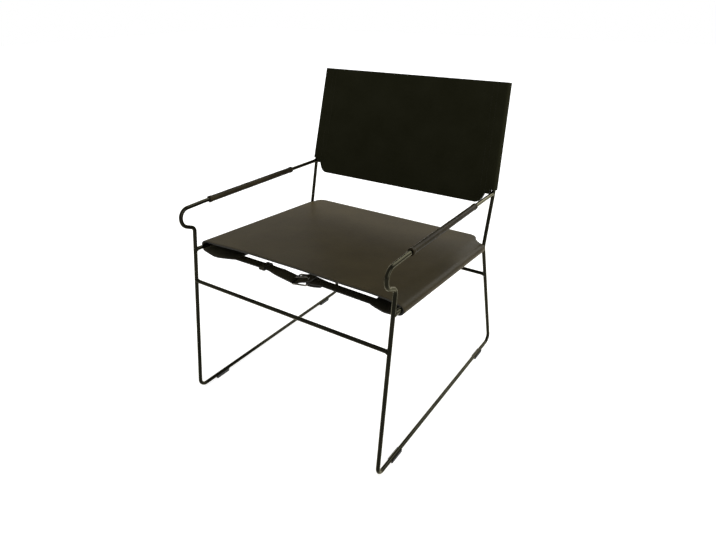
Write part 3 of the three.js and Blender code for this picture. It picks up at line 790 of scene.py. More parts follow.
def ring_matrix(station: Station, across: Vector, radius: float = 1.0) -> Matrix:
    """Returns the place of a sweep's ring at a station.

    Args:
        station: The place and direction.
        across: A direction that the path never follows.
        radius: The ring's radius.

    Returns:
        A matrix with the ring's normal, binormal and tangent as columns.
    """
    normal = across.cross(station.along).normalized()
    binormal = station.along.cross(normal)
    turn = Matrix((normal, binormal, station.along)).transposed().to_4x4()
    return Matrix.Translation(station.at) @ turn @ Matrix.Diagonal((radius, radius, 1, 1))


def new_verts(made: dict[str, list]) -> list[bmesh.types.BMVert]:
    """Returns the vertices among what an operator made."""
    return [item for item in made["geom"] if isinstance(item, bmesh.types.BMVert)]


def sweep_rod(
    bm: bmesh.types.BMesh,
    stations: Sequence[Station],
    across: Vector,
    radius: float | Sequence[float],
    sides: int = 20,
    closed: bool = False,
) -> None:
    """Draws a round rod along a path by extruding a circle from station to station.

    Args:
        bm: The mesh that it goes into.
        stations: The path.
        across: A direction that the path never follows.
        radius: One radius, or one for each station.
        sides: The circle's corners.
        closed: Whether the last ring joins the first.
    """
    radii = [radius] * len(stations) if isinstance(radius, (int, float)) else list(radius)
    before = set(bm.verts)
    bmesh.ops.create_circle(bm, cap_ends=False, segments=sides, radius=1.0)
    ring = [v for v in bm.verts if v not in before]
    first = ring_edges(ring)
    place = ring_matrix(stations[0], across, radii[0])
    bmesh.ops.transform(bm, matrix=place, verts=ring)
    edges = first
    for station, size in zip(stations[1:], radii[1:]):
        made = bmesh.ops.extrude_edge_only(bm, edges=edges)
        ring = new_verts(made)
        following = ring_matrix(station, across, size)
        bmesh.ops.transform(bm, matrix=following @ place.inverted(), verts=ring)
        place, edges = following, ring_edges(ring)
    if closed:
        bmesh.ops.bridge_loops(bm, edges=first + edges)
    else:
        for loop in (first, edges):
            bmesh.ops.contextual_create(bm, geom=loop)


def ring_edges(ring: Sequence[bmesh.types.BMVert]) -> list[bmesh.types.BMEdge]:
    """Returns the edges whose two ends are both in a ring of vertices."""
    inside = set(ring)
    return list({e for v in ring for e in v.link_edges if inside.issuperset(e.verts)})


def turn_profile(
    bm: bmesh.types.BMesh, profile: Profile, start: Vector, towards: Vector, sides: int = 24
) -> list[bmesh.types.BMVert]:
    """Spins a profile of radius and distance about a line.

    Args:
        bm: The mesh that it goes into.
        profile: Pairs of radius and distance from the start.
        start: Where the line starts.
        towards: A point on the line, further along.
        sides: The steps of the spin.

    Returns:
        The new vertices.
    """
    before = set(bm.verts)
    points = [bm.verts.new((radius, 0, distance)) for radius, distance in profile]
    lines = [bm.edges.new(pair) for pair in zip(points, points[1:])]
    bmesh.ops.spin(
        bm,
        geom=points + lines,
        cent=(0, 0, 0),
        axis=(0, 0, 1),
        angle=2 * math.pi,
        steps=sides,
        use_merge=True,
    )
    made = [v for v in bm.verts if v not in before]
    bmesh.ops.remove_doubles(bm, verts=made, dist=0.001)
    made = [v for v in bm.verts if v not in before]
    turn = Z_AXIS.rotation_difference(towards - start).to_matrix().to_4x4()
    bmesh.ops.transform(bm, matrix=Matrix.Translation(start) @ turn, verts=made)
    return made


def lay_grid(
    bm: bmesh.types.BMesh, columns: int, rows: int, place: Callable[[int, int], Vector]
) -> None:
    """Makes a grid and lays each of its points in place.

    Args:
        bm: The mesh that it goes into.
        columns: The number of points one way.
        rows: The number of points the other way.
        place: Gives the point for a column and a row.
    """
    before = set(bm.verts)
    bmesh.ops.create_grid(bm, x_segments=columns - 1, y_segments=rows - 1, size=1.0)
    for v in [v for v in bm.verts if v not in before]:
        column = round((v.co.x + 1) / 2 * (columns - 1))
        row = round((v.co.y + 1) / 2 * (rows - 1))
        v.co = place(column, row)


def round_edges(
    bm: bmesh.types.BMesh, edges: Sequence[bmesh.types.BMEdge], width: float, segments: int
) -> None:
    """Rounds some edges.

    Args:
        bm: The mesh that they are in.
        edges: The edges.
        width: How far from the edge the rounding starts.
        segments: The number of faces that it has.
    """
    bmesh.ops.bevel(
        bm,
        geom=edges,
        offset=width,
        offset_type="OFFSET",
        segments=segments,
        profile=0.5,
        affect="EDGES",
        clamp_overlap=True,
        material=-1,
    )


def add_stitch(
    bm: bmesh.types.BMesh, at: Vector, along: Vector, out: Vector, length: float, radius: float
) -> None:
    """Adds one stitch: a short bead of thread that dips in at both ends.

    Args:
        bm: The mesh that it goes into.
        at: The stitch's middle, on the leather's face.
        along: The direction that it runs.
        out: The direction away from the leather.
        length: The stitch's length.
        radius: The thread's radius.
    """
    along = (along - out * along.dot(out)).normalized()
    across = out.cross(along).normalized()
    made = bmesh.ops.create_uvsphere(bm, u_segments=6, v_segments=5, radius=1.0)
    turn = Matrix((across, out, along)).transposed().to_4x4()
    size = Matrix.Diagonal((radius, radius, length / 2, 1))
    bmesh.ops.transform(bm, matrix=Matrix.Translation(at) @ turn @ size, verts=made["verts"])


def rescale(bm: bmesh.types.BMesh, factor: float) -> None:
    """Scales a whole mesh about the origin."""
    bmesh.ops.scale(bm, vec=(factor, factor, factor), verts=bm.verts)


def add_object(name: str, data: bpy.types.ID) -> bpy.types.Object:
    """Adds an object to the scene.

    Args:
        name: The object's name.
        data: Its mesh, camera or light.

    Returns:
        The new object.
    """
    made = bpy.data.objects.new(name, data)
    bpy.context.scene.collection.objects.link(made)
    return made

def finish_piece(
    name: str,
    bm: bmesh.types.BMesh,
    materials: Sequence[bpy.types.Material],
    body: str,
    stands_for: Sequence[str] = (),
    crease: float = 35.0,
    outward: bool = True,
) -> bpy.types.Object:
    """Turns a mesh in millimetres into a piece that rides on a body.

    Args:
        name: The piece's name.
        bm: The mesh, which is freed.
        materials: The piece's materials, in slot order.
        body: The body that it moves with.
        stands_for: The frame's nodes that it replaces.
        crease: The angle in degrees above which an edge stays sharp.
        outward: Whether the normals are worked out again.

    Returns:
        The new object.
    """
    if outward:
        bmesh.ops.recalc_face_normals(bm, faces=bm.faces)
    rescale(bm, MM)
    for face in bm.faces:
        face.smooth = True
    for edge in bm.edges:
        if len(edge.link_faces) == 2 and edge.calc_face_angle(0) > math.radians(crease):
            edge.smooth = False
    mesh = bpy.data.meshes.new(name)
    bm.to_mesh(mesh)
    bm.free()
    for material in materials:
        mesh.materials.append(material)
    piece = add_object(name, mesh)
    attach(piece, body)
    if stands_for:
        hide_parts(*stands_for)
    log.info("made %s with %d faces, riding on %s", name, len(mesh.polygons), body)
    return piece


def thicken(piece: bpy.types.Object, thickness: float, edge_round: float = 0.8) -> None:
    """Gives a sheet its thickness about its middle, and rounds its cut edges.

    Args:
        piece: The sheet, whose second and third materials are its inner side and its edge.
        thickness: The leather's thickness in millimetres.
        edge_round: The edge's rounding in millimetres.
    """
    wall = piece.modifiers.new("thickness", "SOLIDIFY")
    wall.thickness = thickness * MM
    wall.offset = 0
    wall.use_even_offset = True
    wall.material_offset = 1
    wall.material_offset_rim = 2
    soft = piece.modifiers.new("rubbed_edge", "BEVEL")
    soft.width = edge_round * MM
    soft.segments = 2
    soft.limit_method = "ANGLE"
    soft.angle_limit = math.radians(50)
    soft.material = 2


def bake_modifiers(piece: bpy.types.Object) -> None:
    """Applies a piece's modifiers to its mesh.

    Args:
        piece: The piece, which gets a new mesh.
    """
    bpy.context.view_layer.update()
    graph = bpy.context.evaluated_depsgraph_get()
    old = piece.data
    piece.data = bpy.data.meshes.new_from_object(piece.evaluated_get(graph))
    piece.modifiers.clear()
    bpy.data.meshes.remove(old)


# The chair's own sides and places


class Side(Enum):
    """A side of the chair, by the sitter's hand. The value is the sign of X."""

    LEFT = 1
    RIGHT = -1

    @property
    def hand(self) -> str:
        """The side's name in a node's name."""
        return self.name.lower()


class StrapPlace(Enum):
    """Where a strap crosses under the seat. The value is its share of the way back."""

    FRONT = 0.0
    MIDDLE = 0.5
    REAR = 1.0

    @property
    def word(self) -> str:
        """The place's name in a node's name."""
        return self.name.lower()


@dataclass
class Chassis:
    """The steel: two bent side frames, two seat rails and two stretchers."""

    palette: Palette
    rod_radius: float = 5.0
    half_width: float = 291.5
    top_half_width: float = 277.0
    front_y: float = -330.0
    rear_y: float = 335.25
    runner_z: float = 9.0
    runner_bend: float = 19.0
    kink_y: float = 202.5
    kink_z: float = 380.5
    kink_bend: float = 28.0
    post_top_y: float = 298.5
    post_top_z: float = 784.5
    post_lean_bend: float = 400.0
    arm_rear_z: float = 520.7
    arm_front_z: float = 525.6
    arm_end_gap: float = 1.2
    droop_y: float = -227.8
    droop_bend: float = 110.0
    nose_y: float = -305.4
    nose_z: float = 524.2
    return_z: float = 483.7
    nose_bend_share: float = 0.59
    neck_y: float = -268.9
    neck_z: float = 467.5
    neck_bend: float = 12.0
    rail_front_z: float = 410.6
    front_stretcher_z: float = 325.8
    rear_stretcher_z: float = 280.7
    rod_inset: float = 1.5
    weld_profile: Profile = ((0, 1.5), (4.3, 1.5), (6.1, 3.4), (6.35, 4.6), (6.0, 6.0), (5.4, 7.6))
    weld_end: float = 8.9
    weld_ripple: float = 0.13
    weld_ripples: int = 16

    def front_leg_y(self, z: float) -> float:
        """Returns where the front leg is at a height."""
        rise = (z - self.runner_z) / (self.neck_z - self.runner_z)
        return self.front_y + (self.neck_y - self.front_y) * rise

    def rear_leg_y(self, z: float) -> float:
        """Returns where the rear leg is at a height."""
        rise = (z - self.runner_z) / (self.kink_z - self.runner_z)
        return self.rear_y + (self.kink_y - self.rear_y) * rise

    def post_y(self, z: float) -> float:
        """Returns where the back post is at a height."""
        rise = (z - self.kink_z) / (self.post_top_z - self.kink_z)
        return self.kink_y + (self.post_top_y - self.kink_y) * rise

    def arm_z(self, y: float) -> float:
        """Works out the height of the arm's straight.

        Args:
            y: The place, front to back.

        Returns:
            The height of the arm's middle line there.
        """
        joint_y = self.post_y(self.arm_rear_z)
        share = (y - self.droop_y) / (joint_y - self.droop_y)
        return self.arm_front_z + (self.arm_rear_z - self.arm_front_z) * share

    def joint(self, side: Side) -> Vector:
        """Returns where the arm's line meets the post's."""
        x = side.value * self.half_width
        return Vector((x, self.post_y(self.arm_rear_z), self.arm_rear_z))

    def side_stations(self, side: Side) -> list[Station]:
        """Draws the path of one side frame.

        Args:
            side: The frame's side.

        Returns:
            The path, from the arm's rear end to the post's top.
        """
        x = side.value * self.half_width
        joint = self.joint(side)
        droop = Vector((x, self.droop_y, self.arm_front_z))
        arm_end = joint + (droop - joint).normalized() * (self.rod_radius + self.arm_end_gap)
        nose_bend = self.nose_bend_share * (self.nose_z - self.return_z)
        bends = [
            (self.droop_y, self.arm_front_z, self.droop_bend),
            (self.nose_y, self.nose_z, nose_bend),
            (self.nose_y, self.return_z, nose_bend),
            (self.neck_y, self.neck_z, self.neck_bend),
            (self.front_y, self.runner_z, self.runner_bend),
            (self.rear_y, self.runner_z, self.runner_bend),
            (self.kink_y, self.kink_z, self.kink_bend),
        ]
        corners = [Corner(Vector((x, y, z)), bend) for y, z, bend in bends]
        top = Vector((side.value * self.top_half_width, self.post_top_y, self.post_top_z))
        return bent_path(
            [Corner(arm_end), *corners, Corner(joint, self.post_lean_bend), Corner(top)]
        )

    def weld(self, bm: bmesh.types.BMesh, start: Vector, towards: Vector) -> None:
        """Adds the fillet of weld where a rod's end meets another rod.

        Args:
            bm: The mesh that it goes into.
            start: A point on the middle line of the rod that is met.
            towards: A point on the line of the rod that ends there.
        """
        r = self.rod_radius
        profile = [*self.weld_profile, (r, self.weld_end), (0, self.weld_end)]
        made = turn_profile(bm, profile, start, towards, sides=48)
        along = (towards - start).normalized()
        for v in made:
            reach = v.co - start
            out = reach - along * reach.dot(along)
            if out.length > r:
                angle = math.atan2(out.dot(X_AXIS) + out.dot(Y_AXIS), out.z + 1e-6)
                ripple = self.weld_ripple * math.cos(self.weld_ripples * angle)
                v.co += out.normalized() * ripple

    def finish_steel(self, bm: bmesh.types.BMesh, made_by: str, name: str) -> None:
        """Finishes one steel piece.

        Args:
            bm: Its mesh.
            made_by: How it was shaped, for the piece's name.
            name: The node that it stands for.
        """
        steel = [self.palette.steel]
        finish_piece(f"{made_by}_{name}", bm, steel, "chair", [name])

    def straight_rod(self, name: str, start: Vector, end: Vector) -> None:
        """Builds a straight rod with a weld at each end.

        Args:
            name: The node that it stands for.
            start: The first end, on the middle line of the rod that it meets.
            end: The other end, the same way.
        """
        bm = bmesh.new()
        along = (end - start).normalized()
        inset = along * (self.rod_radius - self.rod_inset)
        stations = [Station(start + inset, along), Station(end - inset, along)]
        sweep_rod(bm, stations, X_AXIS if abs(along.x) < 0.5 else Z_AXIS, self.rod_radius)
        self.weld(bm, start, end)
        self.weld(bm, end, start)
        self.finish_steel(bm, "welded", name)

    def build(self) -> None:
        """Builds every steel piece."""
        for side in Side:
            bm = bmesh.new()
            sweep_rod(bm, self.side_stations(side), X_AXIS, self.rod_radius, sides=24)
            joint = self.joint(side)
            self.weld(bm, joint, Vector((joint.x, self.droop_y, self.arm_front_z)))
            self.finish_steel(bm, "bent", f"side_frame_{side.hand}")
            front = Vector((joint.x, self.front_leg_y(self.rail_front_z), self.rail_front_z))
            rear = Vector((joint.x, self.kink_y, self.kink_z))
            self.straight_rod(f"seat_rail_{side.hand}", front, rear)
        for name, y, z in (
            ("front_stretcher", self.front_leg_y(self.front_stretcher_z), self.front_stretcher_z),
            ("rear_stretcher", self.rear_leg_y(self.rear_stretcher_z), self.rear_stretcher_z),
        ):
            right, left = (Vector((sign * self.half_width, y, z)) for sign in (-1, 1))
            self.straight_rod(name, right, left)


@dataclass
class Glides:
    """The four nylon saddles that the runners stand on."""

    palette: Palette
    chassis: Chassis
    wall: float = 2.0
    slack: float = 0.3
    pad_width: float = 12.0
    length: float = 45.0
    front_inset: float = 81.0
    rear_inset: float = 92.25
    edge: float = 0.6
    edge_angle: float = 0.6
    outer_steps: int = 8
    inner_steps: int = 24

    def section(self) -> list[tuple[float, float]]:
        """Draws the saddle's outline about the runner's middle.

        Returns:
            The outline's points, in X and Z.
        """
        inner = self.chassis.rod_radius + self.slack
        outer = inner + self.wall
        pad = self.pad_width / 2
        foot = math.atan2(-math.sqrt(outer**2 - pad**2), pad)
        outside = [foot * (1 - k / self.outer_steps) for k in range(self.outer_steps + 1)]
        inside = [-math.pi * k / self.inner_steps for k in range(self.inner_steps + 1)]
        right = [(outer * math.cos(angle), outer * math.sin(angle)) for angle in outside]
        bore = [(inner * math.cos(angle), inner * math.sin(angle)) for angle in inside]
        left = [(-x, z) for x, z in reversed(right)]
        bottom = -self.chassis.runner_z
        return [*right, *bore, *left, (-pad, bottom), (pad, bottom)]

    def build(self) -> None:
        """Builds the four saddles."""
        for side in Side:
            self.saddle(side, "front", self.chassis.front_y + self.front_inset)
            self.saddle(side, "rear", self.chassis.rear_y - self.rear_inset)

    def saddle(self, side: Side, word: str, y: float) -> None:
        """Builds one saddle.

        Args:
            side: The runner that it is on.
            word: Front or rear.
            y: The middle of the saddle.
        """
        bm = bmesh.new()
        x = side.value * self.chassis.half_width
        z = self.chassis.runner_z
        start = y - self.length / 2
        verts = [bm.verts.new((x + px, start, z + pz)) for px, pz in self.section()]
        face = bm.faces.new(verts)
        made = bmesh.ops.extrude_face_region(bm, geom=[face], use_keep_orig=True)
        bmesh.ops.translate(bm, vec=(0, self.length, 0), verts=new_verts(made))
        bmesh.ops.recalc_face_normals(bm, faces=bm.faces)
        folds = [e for e in bm.edges if len(e.link_faces) == 2]
        sharp = [e for e in folds if e.calc_face_angle(0) > self.edge_angle]
        round_edges(bm, sharp, self.edge, 2)
        name = f"glide_{word}_{side.hand}"
        finish_piece(f"saddle_{name}", bm, [self.palette.nylon], "chair", [name])


@dataclass
class ArmWraps:
    """A leather wrap on the straight of each arm: hemmed ends and a sewn seam below."""

    palette: Palette
    chassis: Chassis
    front_y: float = -211.0
    rear_y: float = 112.5
    wall: float = 2.2
    slack: float = 0.3
    bore_slack: float = 0.25
    hem_rise: float = 0.7
    hem_from: float = 7.8
    hem_to: float = 9.4
    bump: float = 0.16
    bump_length: float = 26.0
    crease: float = 0.3
    crease_length: float = 5.0
    creases_round: float = 1.5
    rim_round: float = 0.45
    seam_width: float = 3.0
    seam_rise: float = 1.2
    stitch_pitch: float = 6.5
    stitch_inset: float = 7.0
    stitch_length: float = 4.4
    stitch_slant: float = 0.35
    thread_radius: float = 0.45
    turns: int = 40
    rows: int = 160

    @property
    def outer(self) -> float:
        """The wrap's radius, away from its hems and seam."""
        return self.chassis.rod_radius + self.slack + self.wall

    def radius_at(self, distance: float, length: float, angle: float) -> float:
        """Works out the wrap's outer radius.

        Args:
            distance: How far along the wrap.
            length: The wrap's length.
            angle: Round the wrap, from straight up.

        Returns:
            The radius with its hems and the leather's bumps and creases.
        """
        hem = 1 - smooth_share(min(distance, length - distance), self.hem_from, self.hem_to)
        round_x, round_y = math.cos(angle), math.sin(angle)
        bump = noise.noise(Vector((distance / self.bump_length, round_x, round_y)))
        dense = self.creases_round
        spot = Vector((distance / self.crease_length, dense * round_x, dense * round_y))
        crease = noise.noise(spot)
        return self.outer + self.hem_rise * hem + self.bump * bump + self.crease * crease

    def build(self) -> None:
        """Builds both wraps."""
        for side in Side:
            self.wrap(side)

    def wrap(self, side: Side) -> None:
        """Builds one wrap with its seam and stitches.

        Args:
            side: The arm that it is on.
        """
        x = side.value * self.chassis.half_width
        front = Vector((x, self.front_y, self.chassis.arm_z(self.front_y)))
        rear = Vector((x, self.rear_y, self.chassis.arm_z(self.rear_y)))
        length = (rear - front).length
        along = (rear - front).normalized()
        up = X_AXIS.cross(along).normalized()
        first, second = 0.5, 2.0
        run = length - 2 * second
        middle = (second + run * k / self.rows for k in range(self.rows + 1))
        marks = [0.0, first, *middle, length - first, length]
        bm = bmesh.new()

        def lay(column: int, row: int) -> Vector:
            """Gives a point of the wrap's outer face.

            Args:
                column: The point's number, round the wrap.
                row: The mark's number, along the wrap.

            Returns:
                The point.
            """
            angle = 2 * math.pi * column / self.turns
            radius = self.radius_at(marks[row], length, angle)
            if row in (0, len(marks) - 1):
                radius -= self.rim_round
            below = abs(math.remainder(angle - math.pi, 2 * math.pi)) * radius
            if below < self.seam_width:
                radius += self.seam_rise * math.cos(below / self.seam_width * math.pi / 2) ** 0.5
            out = X_AXIS * math.sin(angle) + up * math.cos(angle)
            return front + along * marks[row] + out * radius

        lay_grid(bm, self.turns + 1, len(marks), lay)
        bmesh.ops.remove_doubles(bm, verts=bm.verts, dist=TOUCHING)
        rims = [e for e in bm.edges if e.is_boundary]
        for v in new_verts(bmesh.ops.extrude_edge_only(bm, edges=rims)):
            reach = v.co - front
            distance = reach.dot(along)
            out = (reach - along * distance).normalized()
            v.co = front + along * distance + out * (self.chassis.rod_radius + self.bore_slack)
        name = f"arm_sleeve_{side.hand}"
        leather = [self.palette.wrap]
        finish_piece(f"leather_{name}", bm, leather, "chair", [name], crease=50)
        seam = front - up * (self.outer + self.seam_rise)
        run = length - 2 * self.stitch_inset
        count = int(run / self.stitch_pitch)
        slant = along + X_AXIS * self.stitch_slant
        bm = bmesh.new()
        for k in range(count):
            at = seam + along * (self.stitch_inset + (k + 0.5) * run / count)
            add_stitch(bm, at, slant, -up, self.stitch_length, self.thread_radius)
        finish_piece(f"seam_stitches_{side.hand}", bm, [self.palette.thread], "chair")


@dataclass
class Sling:
    """A hide that is stretched between two rods, in a frame of its own."""

    palette: Palette
    chassis: Chassis
    hide: float = 3.5
    slack: float = 0.3
    place: Matrix = field(init=False)

    @property
    def wrap_radius(self) -> float:
        """The radius of the hide's middle line round a rod."""
        return self.chassis.rod_radius + self.slack + self.hide / 2

    def stretch(
        self,
        word: str,
        materials: Sequence[bpy.types.Material],
        stations: Sequence[Station],
        rows: int,
        lay: Callable[[int, int], Vector],
        thickness: float,
        deep: float,
        rests_on: list[str],
    ) -> None:
        """Args:
            word: The hide's word in names, seat or back.
            materials: Its grain side, its flesh side and its cut edge.
            stations: Its middle line.
            rows: The number of points the other way.
            lay: Gives the hide's point for a station and a row.
            thickness: The leather's thickness.
            deep: The flat hide's size the other way. Not used.
            rests_on: The pieces that hold it. Not used.
        """
        bm = bmesh.new()
        lay_grid(bm, len(stations), rows, lay)
        node, slot = f"{word}_sling", f"{word}_leather"
        hide = finish_piece(f"{word}_hide", bm, materials, "chair", [node], outward=False)
        thicken(hide, thickness)


@dataclass
class SeatSling(Sling):
    """The seat: one hide over both rails, its flaps below, and three buckled straps."""

    front: float = 29.0
    hollow_depth: float = 7.5
    hollow_inset: float = 19.5
    hollow_ease: float = 120.0
    near_share: float = 0.55
    near_ease: float = 70.0
    overhang: float = 30.0
    sag_rear: float = 3.5
    left_corner: Profile = ((51.5, -2), (33.5, -3), (26, -22.4), (20.5, -36))
    right_corner: Profile = ((33.5, 0), (10, 0.5), (8, -23), (7.5, -34))
    roll_end_gap: float = 5.0
    under_drop: float = 22.0
    top_rise: float = 13.75
    top_bend: float = 12.0
    roll_drop: float = 11.0
    roll_under_bend: float = 12.0
    flap_inset: float = 41.5
    flap_bend: float = 60.0
    flap_width: float = 88.0
    shoulder: float = 57.0
    left_shoulder: float = 70.0
    strap_setback: float = 22.0
    strap_width: float = 28.0
    wave: float = 0.5
    wave_across: float = 150.0
    wave_along: float = 130.0
    wave_seed: float = 3.1
    wave_inset: float = 12.0
    wave_fade: float = 60.0
    wave_end_fade: float = 30.0
    wave_end_share: float = 0.4
    settle_depth: float = 6.2
    settle_width: float = 50.0
    rows: int = 61
    rail_length: float = field(init=False)

    def __post_init__(self) -> None:
        """Works out the seat's own frame from the rails."""
        c = self.chassis
        front = Vector((0, c.front_leg_y(c.rail_front_z), c.rail_front_z))
        rear = Vector((0, c.kink_y, c.kink_z))
        self.rail_length = (rear - front).length
        pitch = math.atan2(rear.z - front.z, rear.y - front.y)
        self.place = Matrix.Translation(front) @ Matrix.Rotation(pitch, 4, "X")

    @property
    def roll_end(self) -> float:
        """Where the rolls end at the rear."""
        return self.rail_length - self.chassis.rod_radius - self.roll_end_gap

    @property
    def flap_inner(self) -> float:
        """How far the flaps' inner edges are from the middle."""
        return self.chassis.half_width - self.flap_width

    def strap_middle(self, place: StrapPlace) -> float:
        """Works out where a strap crosses.

        Args:
            place: Which strap it is.

        Returns:
            The strap's middle, front to back.
        """
        half = self.strap_setback + self.strap_width / 2
        first, last = self.front + half, self.roll_end - half
        return first + (last - first) * place.value

    def band(self) -> list[Station]:
        """Draws the hide's middle line across the seat.

        Returns:
            The line, from one flap round to the other.
        """
        wall = self.chassis.half_width + self.wrap_radius
        half = [
            (self.flap_inner, -self.under_drop, 0.0),
            (self.chassis.half_width - self.flap_inset, -self.under_drop, self.flap_bend),
            (wall, -self.roll_drop, self.roll_under_bend),
            (wall, self.top_rise, self.top_bend),
        ]
        right = [Corner(Vector((-x, 0, z)), bend) for x, z, bend in half]
        return bent_path(mirrored(right), straight=5.0, step=math.radians(8))

    def limits(self, at: Vector) -> tuple[float, float]:
        """Works out where the hide starts and ends, front to back.

        Args:
            at: A point on the middle line.

        Returns:
            The front and the rear edge at that point.
        """
        x = abs(at.x)
        shoulder = self.left_shoulder if at.x > 0 else self.shoulder
        if at.z < 0 and x < self.flap_inner + shoulder:
            depth = self.strap_setback
            points = (0.0, depth), (depth, depth / 2), (shoulder, 0.0)
            cut = curve_height(x - self.flap_inner, *points)
            return self.front + cut, self.roll_end - cut
        if at.z < 0:
            return self.front, self.roll_end
        wide = self.chassis.half_width - self.hollow_inset
        hollow = self.hollow_depth * smooth_share(-x, -wide, self.hollow_ease - wide)
        if at.x > 0:
            near = self.hollow_depth * smooth_share(-x, -wide, self.near_ease - wide)
            hollow += (near * self.near_share - hollow) * smooth_share(x, 0, wide / 2)
        return self.front + hollow, self.rear_edge(at.x)

    def settled(self, at: Vector) -> float:
        """Works out how far the hide has settled over the left rail.

        Args:
            at: A point on the middle line.

        Returns:
            How far it is lowered: most at the rail's outer side, and nothing below the roll.
        """
        wall = self.chassis.half_width + self.wrap_radius
        share = smooth_share(at.x, wall - self.settle_width, wall) ** 1.5
        height = (at.z + self.roll_drop) / (self.top_rise + self.roll_drop)
        return self.settle_depth * share * max(0.0, height)

    def rear_corner(self, side: Side) -> list[tuple[float, float]]:
        """Gives the curve of the top's rear corner: the tail's end, then pairs of pull and point.

        Args:
            side: The corner's side. The sitter's left is cut rounder than the right.

        Returns:
            Five points, outwards from the tail to the roll's end.
        """
        wide = self.chassis.half_width
        tail, shape = self.rail_length + self.overhang, self.left_corner
        if side is Side.RIGHT:
            tail, shape = tail + self.sag_rear, self.right_corner
        points = [(wide - inset, tail + back) for inset, back in shape]
        return [*points, (wide - self.wrap_radius, self.roll_end)]

    def rear_edge(self, x: float) -> float:
        """Works out where the top's rear edge is, with its round corner and its waist.

        Args:
            x: The place across the seat.

        Returns:
            The rear edge, front to back.
        """
        tail, pull, hip, waist, end = self.rear_corner(Side.LEFT if x > 0 else Side.RIGHT)
        if abs(x) >= end[0]:
            return self.roll_end
        if abs(x) >= hip[0]:
            return curve_height(abs(x), hip, waist, end)
        if abs(x) >= tail[0]:
            return curve_height(abs(x), tail, pull, hip)
        far, near = self.rear_corner(Side.RIGHT)[0], self.rear_corner(Side.LEFT)[0]
        return far[1] + (near[1] - far[1]) * (x + far[0]) / (far[0] + near[0])

    def corner_marks(self) -> list[float]:
        """Spreads marks along the rear corners, closer where they turn away.

        Returns:
            The marks' places across the seat.
        """
        marks: list[float] = []
        for side in Side:
            corner = self.rear_corner(side)
            for start, pull, end in (corner[:3], corner[2:]):
                for t in (0.0, 0.2, 0.4, 0.6, 0.8, 0.92):
                    marks.append(side.value * curve_at(t, start[0], pull[0], end[0]))
            # A mark just inside the roll's end keeps the step there short.
            marks.append(side.value * (corner[4][0] - 0.05))
        return marks

    def build(self) -> None:
        """Builds the hide and its straps."""
        stations = with_marks(self.band(), self.corner_marks(), lambda at: at.z > 0)

        def lay(column: int, row: int) -> Vector:
            """Gives a point of the hide's middle.

            Args:
                column: The station's number.
                row: The point's number, front to back.

            Returns:
                The point in the chair's frame.
            """
            at = stations[column].at
            start, end = self.limits(at)
            y = start + (end - start) * row / (self.rows - 1)
            point = Vector((at.x, y, at.z - self.settled(at)))
            inside = (self.chassis.half_width - self.wave_inset - abs(at.x)) / self.wave_fade
            inside = min(1.0, max(0.0, inside))
            ends = min(1.0, (y - start) / self.wave_end_fade, (end - y) / self.wave_end_fade)
            ends = self.wave_end_share + (1 - self.wave_end_share) * ends
            if at.z > 0:
                spot = Vector((at.x / self.wave_across, y / self.wave_along, self.wave_seed))
                point.z += self.wave * noise.noise(spot) * inside * ends
            return self.place @ point

        materials = self.palette.sheet(self.palette.seat)
        deep = self.rail_length + self.overhang + self.sag_rear - self.front
        rails = ["welded_seat_rail_left", "welded_seat_rail_right"]
        self.stretch("seat", materials, stations, self.rows, lay, self.hide, deep, rails)
        for place in StrapPlace:
            StrapAndBuckle(self.palette, self, place).build()


